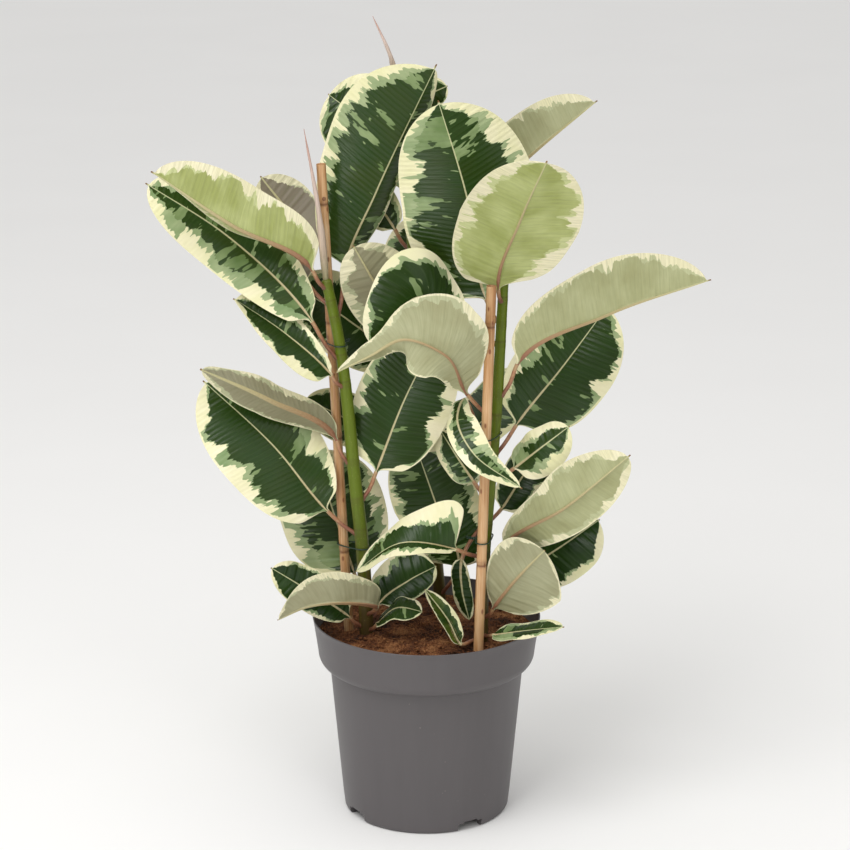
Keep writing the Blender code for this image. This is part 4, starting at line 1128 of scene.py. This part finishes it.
def leaf_places(spans):
    """Each ring's share of the leaf's line, and t: -1 to 0 along the stalk, then 0 to 1 along the blade."""
    base = 2 / spans
    places = [(base * i / STALK_RINGS, -1 + i / STALK_RINGS) for i in range(STALK_RINGS)]
    for i in range(BLADE_RINGS + 1):
        x = i / BLADE_RINGS
        t = x - 0.72 * math.sin(2 * math.pi * x) / (2 * math.pi)
        places.append((base + (1 - base) * t, t))
    return places


def square_chord(chords, t, along):
    """A half blade's direction square to the midrib at a share of its length, and its reach in mm."""
    chord = chord_at(chords, t)
    flat = chord - along * chord.dot(along)
    return flat.normalized(), flat.length


def wrapped_ring(centre, across, up, stalk, thin, top, low):
    """A ring round the leaf. As thin goes from 0 to 1 it turns from a round stalk into the blade's sides."""
    turns = [math.pi * (1 - (i + 0.5) / (2 * ACROSS - 1)) for i in range(2 * ACROSS - 1)]
    sideways = np.outer(np.cos(turns), across) * stalk
    upwards = np.outer(np.sin(turns), up) * stalk
    upper = centre + (sideways + upwards) * (1 - thin) + top * thin
    lower = centre + (sideways - upwards) * (1 - thin) + low * thin
    return np.concatenate([upper, lower[::-1]])


def leaf_rings(entry, settings, seed):
    """Rings of points round one leaf, from its stalk to its tip, with the values its materials read."""
    _, stem, height, route, left, right, bow = entry
    line = leaf_line(stem, height, route)
    spans = len(line) - 1
    pick = random.Random(seed)
    waves = [(pick.uniform(0, 6.3), pick.uniform(1.6, 2.6), pick.uniform(0.6, 1.0)) for _ in range(2)]
    run = 0.0
    before = None
    rings, values = [], []
    for share, t in leaf_places(spans):
        at, along = smooth_route(line, share)
        blade_t = max(t, 0.0)
        if t >= 0 and before is not None:
            run += (at - before).length
        before = at if t >= 0 else None
        out_l, reach_l = square_chord(left, blade_t, along)
        out_r, reach_r = square_chord(right, blade_t, along)
        up_l, up_r = along.cross(out_l), out_r.cross(along)
        middle_up = (up_l + up_r).normalized()
        across = (out_r - out_l).normalized()
        width = blade_width(blade_t)
        thin = min(blade_t / 0.07, 1.0) if t > 0 else 0.0
        thin = thin * thin * (3 - 2 * thin)
        rows = []
        for (out, up, reach), flip, (phase, count, size) in (((out_l, up_l, reach_l), -1, waves[0]),
                                                            ((out_r, up_r, reach_r), 1, waves[1])):
            half = max(reach * width * MM, 1e-5)
            shares = across_shares(half)
            points, normals = half_blade(out, up, reach * MM, width, shares, bow)
            distance = shares * half
            vein = run - VEIN_SLOPE * distance
            bell = np.clip(shares * 5, 0, 1) * np.clip((1 - shares) * 6, 0, 1)
            lift = settings.ripple * np.sin(vein * 2 * math.pi / RIPPLE_GAP + phase) * bell
            lift = lift + settings.wave * size * shares**2 * math.sin(2 * math.pi * count * blade_t + phase)
            lift = lift * min(half / 0.02, 1.0) * thin
            points = points + normals * lift[:, None] + np.outer(shares * flip, across) * 0.0006 * thin
            rows.append((shares, points, normals, distance * flip, vein))
        # The left row is turned round, so that the two run from margin to margin through one midrib point.
        s, flat, normal, distance, vein = [np.concatenate([a[::-1], b[1:]]) for a, b in zip(*rows)]
        normal[ACROSS - 1] = middle_up
        thick = settings.blade + (settings.edge - settings.blade) * np.clip((s - 0.7) / 0.3, 0, 1)
        # The midrib is a groove above and a round ridge below.
        groove = 0.0003 * np.exp(-(distance / 0.0011) ** 2) * (1 - 0.6 * blade_t)
        ridge = settings.petiole * 1.5 * (1 - blade_t) ** 0.8 + 0.0002
        swell = ridge * np.sqrt(np.clip(1 - (distance / (0.0022 - 0.0015 * blade_t)) ** 2, 0, 1))
        top = flat + normal * (thick / 2 - groove)[:, None]
        low = flat - normal * (thick / 2 + swell)[:, None]
        # The stalk is a little stouter where it leaves the stem.
        foot = max(0.0, 1 - share * spans / 0.35)
        stalk = settings.petiole * (1 + 0.35 * foot) * (1 - 0.62 * blade_t)
        rings.append(wrapped_ring(np.array(at), across, middle_up, stalk, thin, top, low))
        row = np.stack([vein, distance, np.full_like(vein, t), s], axis=1)
        values.append(np.concatenate([row, row[::-1]]))
    return np.array(rings), np.array(values)


def build_leaf(entry, order, settings, materials):
    """One leaf: a grid wrapped round its rings, closed along the seam, at the stalk's foot and at the tip."""
    rings, values = leaf_rings(entry, settings, order + 1)
    rows, around = rings.shape[:2]
    bm = bmesh.new()
    bmesh.ops.create_grid(bm, x_segments=around, y_segments=rows - 1, size=0.5)
    upper = 2 * ACROSS - 2
    for face in bm.faces:
        middle = face.calc_center_median()
        column = int((middle.x + 0.5) * around)
        row = int((middle.y + 0.5) * (rows - 1))
        face.material_index = 2 if row < STALK_RINGS else (0 if column < upper else 1)
    spot = bm.verts.layers.float_vector.new("vein_place")
    share = bm.verts.layers.float.new("share")
    look_layer = bm.verts.layers.float_vector.new("leaf_look")
    seed_layer = bm.verts.layers.float.new("leaf_seed")
    look = Vector(LEAF_LOOKS.get(entry[0], COMMON_LOOK))
    lattice = {}
    for v in bm.verts:
        i = round((v.co.x + 0.5) * around)
        j = round((v.co.y + 0.5) * (rows - 1))
        lattice[i, j] = v
        value = values[j, i % around]
        v[spot] = value[:3]
        v[share] = value[3]
        v[look_layer] = look
        v[seed_layer] = order * SEED_STEP
        v.co = rings[j, i % around]
    bmesh.ops.weld_verts(bm, targetmap={lattice[around, j]: lattice[0, j] for j in range(rows)})
    ends = [edge for edge in bm.edges if edge.is_boundary]
    caps = bmesh.ops.holes_fill(bm, edges=ends, sides=0)["faces"]
    for face in caps:
        face.material_index = 2
    bmesh.ops.recalc_face_normals(bm, faces=bm.faces)
    smooth(bm, 55)
    show("foliage_" + entry[0], bm, "leaf_" + entry[0], "leaf", *materials)


# ---- Studio ----

CAMERA_PLACE = Vector((-0.0016, -3.0, 1.35))
CAMERA_AIM = Vector((-0.0016, 0, 0.427))
CAMERA_LENS = 127.06


def studio_floor():
    """Pale painted floor, matt and even."""
    made, tree, shader = new_material("studio_floor_matt_paint")
    place = add(tree, "TexCoord", out="Object")
    faint = add(tree, "TexNoise", {"Vector": place, "Scale": 3.0, "Detail": 2.0})
    colour = add(tree, "Mix", {0: faint, 6: linear("#f2f1ef"), 7: linear("#f6f5f3")}, **COLOUR_MIX)
    tree.links.new(colour, shader.inputs["Base Color"])
    shader.inputs["Roughness"].default_value = 0.7
    return made


def build_stage(settings):
    """Plain pale floor, soft studio light and the camera."""
    bm = bmesh.new()
    bmesh.ops.create_grid(bm, x_segments=8, y_segments=8, size=20)
    mesh = bpy.data.meshes.new("floor")
    bm.to_mesh(mesh)
    bm.free()
    mesh.materials.append(studio_floor())
    floor = bpy.data.objects.new("floor", mesh)
    bpy.context.scene.collection.objects.link(floor)
    for name, place, aim, size, power in (
            ("overhead_softbox", (-0.9, -1.2, 2.6), (0, 0, 0.4), 1.6, settings.key),
            ("front_softbox", (1.6, -2.6, 1.5), (0, 0, 0.4), 1.8, settings.fill),
            ("low_softbox", (-1.15, -2.3, 0.62), (0, 0, 0.6), 0.7, settings.low)):
        light = bpy.data.lights.new(name, "AREA")
        light.size = size
        light.energy = power
        lamp = bpy.data.objects.new(name, light)
        lamp.location = place
        lamp.rotation_euler = (Vector(aim) - Vector(place)).to_track_quat("-Z", "Y").to_euler()
        bpy.context.scene.collection.objects.link(lamp)
    world = bpy.data.worlds.new("studio_daylight")
    world.use_nodes = True
    sky = world.node_tree.nodes["Background"]
    # A bright diffuser overhead, darker towards the horizon, so that the glossy leaves keep their depth.
    up = add(world.node_tree, "SeparateXYZ", {0: add(world.node_tree, "TexCoord", out="Generated")}, out=2)
    dome = add(world.node_tree, "ValToRGB", {"Fac": up},
               ramp=[(0.0, linear("#7a7a7a")), (0.3, linear("#a0a0a0")), (0.75, linear("#ffffff"))])
    world.node_tree.links.new(dome, sky.inputs["Color"])
    sky.inputs["Strength"].default_value = settings.sky
    bpy.context.scene.world = world
    bpy.context.scene.view_settings.view_transform = "Standard"
    data = bpy.data.cameras.new("camera")
    data.lens = CAMERA_LENS
    data.sensor_width = 36
    data.clip_end = 100
    camera = bpy.data.objects.new("camera", data)
    camera.location = CAMERA_PLACE
    camera.rotation_euler = (CAMERA_AIM - CAMERA_PLACE).to_track_quat("-Z", "Y").to_euler()
    bpy.context.scene.collection.objects.link(camera)
    bpy.context.scene.camera = camera


# ---- Operators, panel and registration ----

class PLANT_OT_pot(bpy.types.Operator):
    """Build the nursery pot"""
    bl_idname = "plant.pot"
    bl_label = "Pot"

    def execute(self, context):
        build_pot(context.scene.plant_pot)
        return {"FINISHED"}


class PLANT_OT_soil(bpy.types.Operator):
    """Build the peat with its loose bits"""
    bl_idname = "plant.soil"
    bl_label = "Soil"

    def execute(self, context):
        build_soil(context.scene.plant_soil)
        return {"FINISHED"}


class PLANT_OT_stems(bpy.types.Operator):
    """Build the woody stems"""
    bl_idname = "plant.stems"
    bl_label = "Stems"

    def execute(self, context):
        settings = context.scene.plant_stems
        made_of = bark(settings)
        for name in STEMS:
            build_stem(name, settings, made_of)
        return {"FINISHED"}


class PLANT_OT_sheaths(bpy.types.Operator):
    """Build the rolled sheaths on the stems' tips"""
    bl_idname = "plant.sheaths"
    bl_label = "Bud sheaths"

    def execute(self, context):
        made_of = sheath_skin(context.scene.plant_sheaths)
        for name in BUDS:
            build_sheath(name, made_of)
        return {"FINISHED"}


class PLANT_OT_canes(bpy.types.Operator):
    """Build the bamboo canes"""
    bl_idname = "plant.canes"
    bl_label = "Canes"

    def execute(self, context):
        settings = context.scene.plant_canes
        made_of = bamboo(settings)
        for name in CANES:
            build_cane(name, settings, made_of)
        return {"FINISHED"}


class PLANT_OT_ties(bpy.types.Operator):
    """Build the wire ties"""
    bl_idname = "plant.ties"
    bl_label = "Ties"

    def execute(self, context):
        settings = context.scene.plant_ties
        made_of = coated_wire(settings)
        for name in TIES:
            for index in range(len(TIES[name])):
                build_tie(name, index, settings, made_of)
        return {"FINISHED"}


class PLANT_OT_leaves(bpy.types.Operator):
    """Build every leaf"""
    bl_idname = "plant.leaves"
    bl_label = "Leaves"

    def execute(self, context):
        settings = context.scene.plant_leaves
        materials = (leaf_upper(settings), leaf_under(settings), stalk_skin(settings))
        for order, entry in enumerate(LEAVES):
            build_leaf(entry, order, settings, materials)
        return {"FINISHED"}


class PLANT_OT_stage(bpy.types.Operator):
    """Build the floor, lights and camera"""
    bl_idname = "plant.stage"
    bl_label = "Stage"

    def execute(self, context):
        build_stage(context.scene.plant_stage)
        return {"FINISHED"}


STEPS = (PLANT_OT_stage, PLANT_OT_pot, PLANT_OT_soil, PLANT_OT_stems, PLANT_OT_sheaths, PLANT_OT_canes,
         PLANT_OT_ties, PLANT_OT_leaves)
SETTINGS = {"plant_pot": PotSettings, "plant_soil": SoilSettings, "plant_stems": StemSettings,
            "plant_sheaths": SheathSettings, "plant_canes": CaneSettings, "plant_ties": TieSettings,
            "plant_leaves": LeafSettings, "plant_stage": StageSettings}


class PLANT_PT_panel(bpy.types.Panel):
    """The plant's pieces and their settings"""
    bl_idname = "PLANT_PT_panel"
    bl_label = "Rubber plant"
    bl_space_type = "VIEW_3D"
    bl_region_type = "UI"
    bl_category = "Rubber plant"

    def draw(self, context):
        for step in STEPS:
            box = self.layout.box()
            box.operator(step.bl_idname)
            settings = getattr(context.scene, step.bl_idname.replace(".", "_"))
            for name in settings.__annotations__:
                box.prop(settings, name)


def register():
    """Registers the settings, the operators and the panel."""
    for name, group in SETTINGS.items():
        bpy.utils.register_class(group)
        setattr(bpy.types.Scene, name, PointerProperty(type=group))
    for step in STEPS + (PLANT_PT_panel,):
        bpy.utils.register_class(step)


def unregister():
    """Takes them away again."""
    for step in (PLANT_PT_panel,) + STEPS[::-1]:
        bpy.utils.unregister_class(step)
    for name, group in SETTINGS.items():
        delattr(bpy.types.Scene, name)
        bpy.utils.unregister_class(group)


def main():
    """Builds the whole plant."""
    register()
    for startup in ("Cube", "Light", "Camera"):
        if startup in bpy.data.objects:
            bpy.data.objects.remove(bpy.data.objects[startup], do_unlink=True)
    for step in STEPS:
        family, name = step.bl_idname.split(".")
        getattr(getattr(bpy.ops, family), name)()


if __name__ == "__main__":
    main()
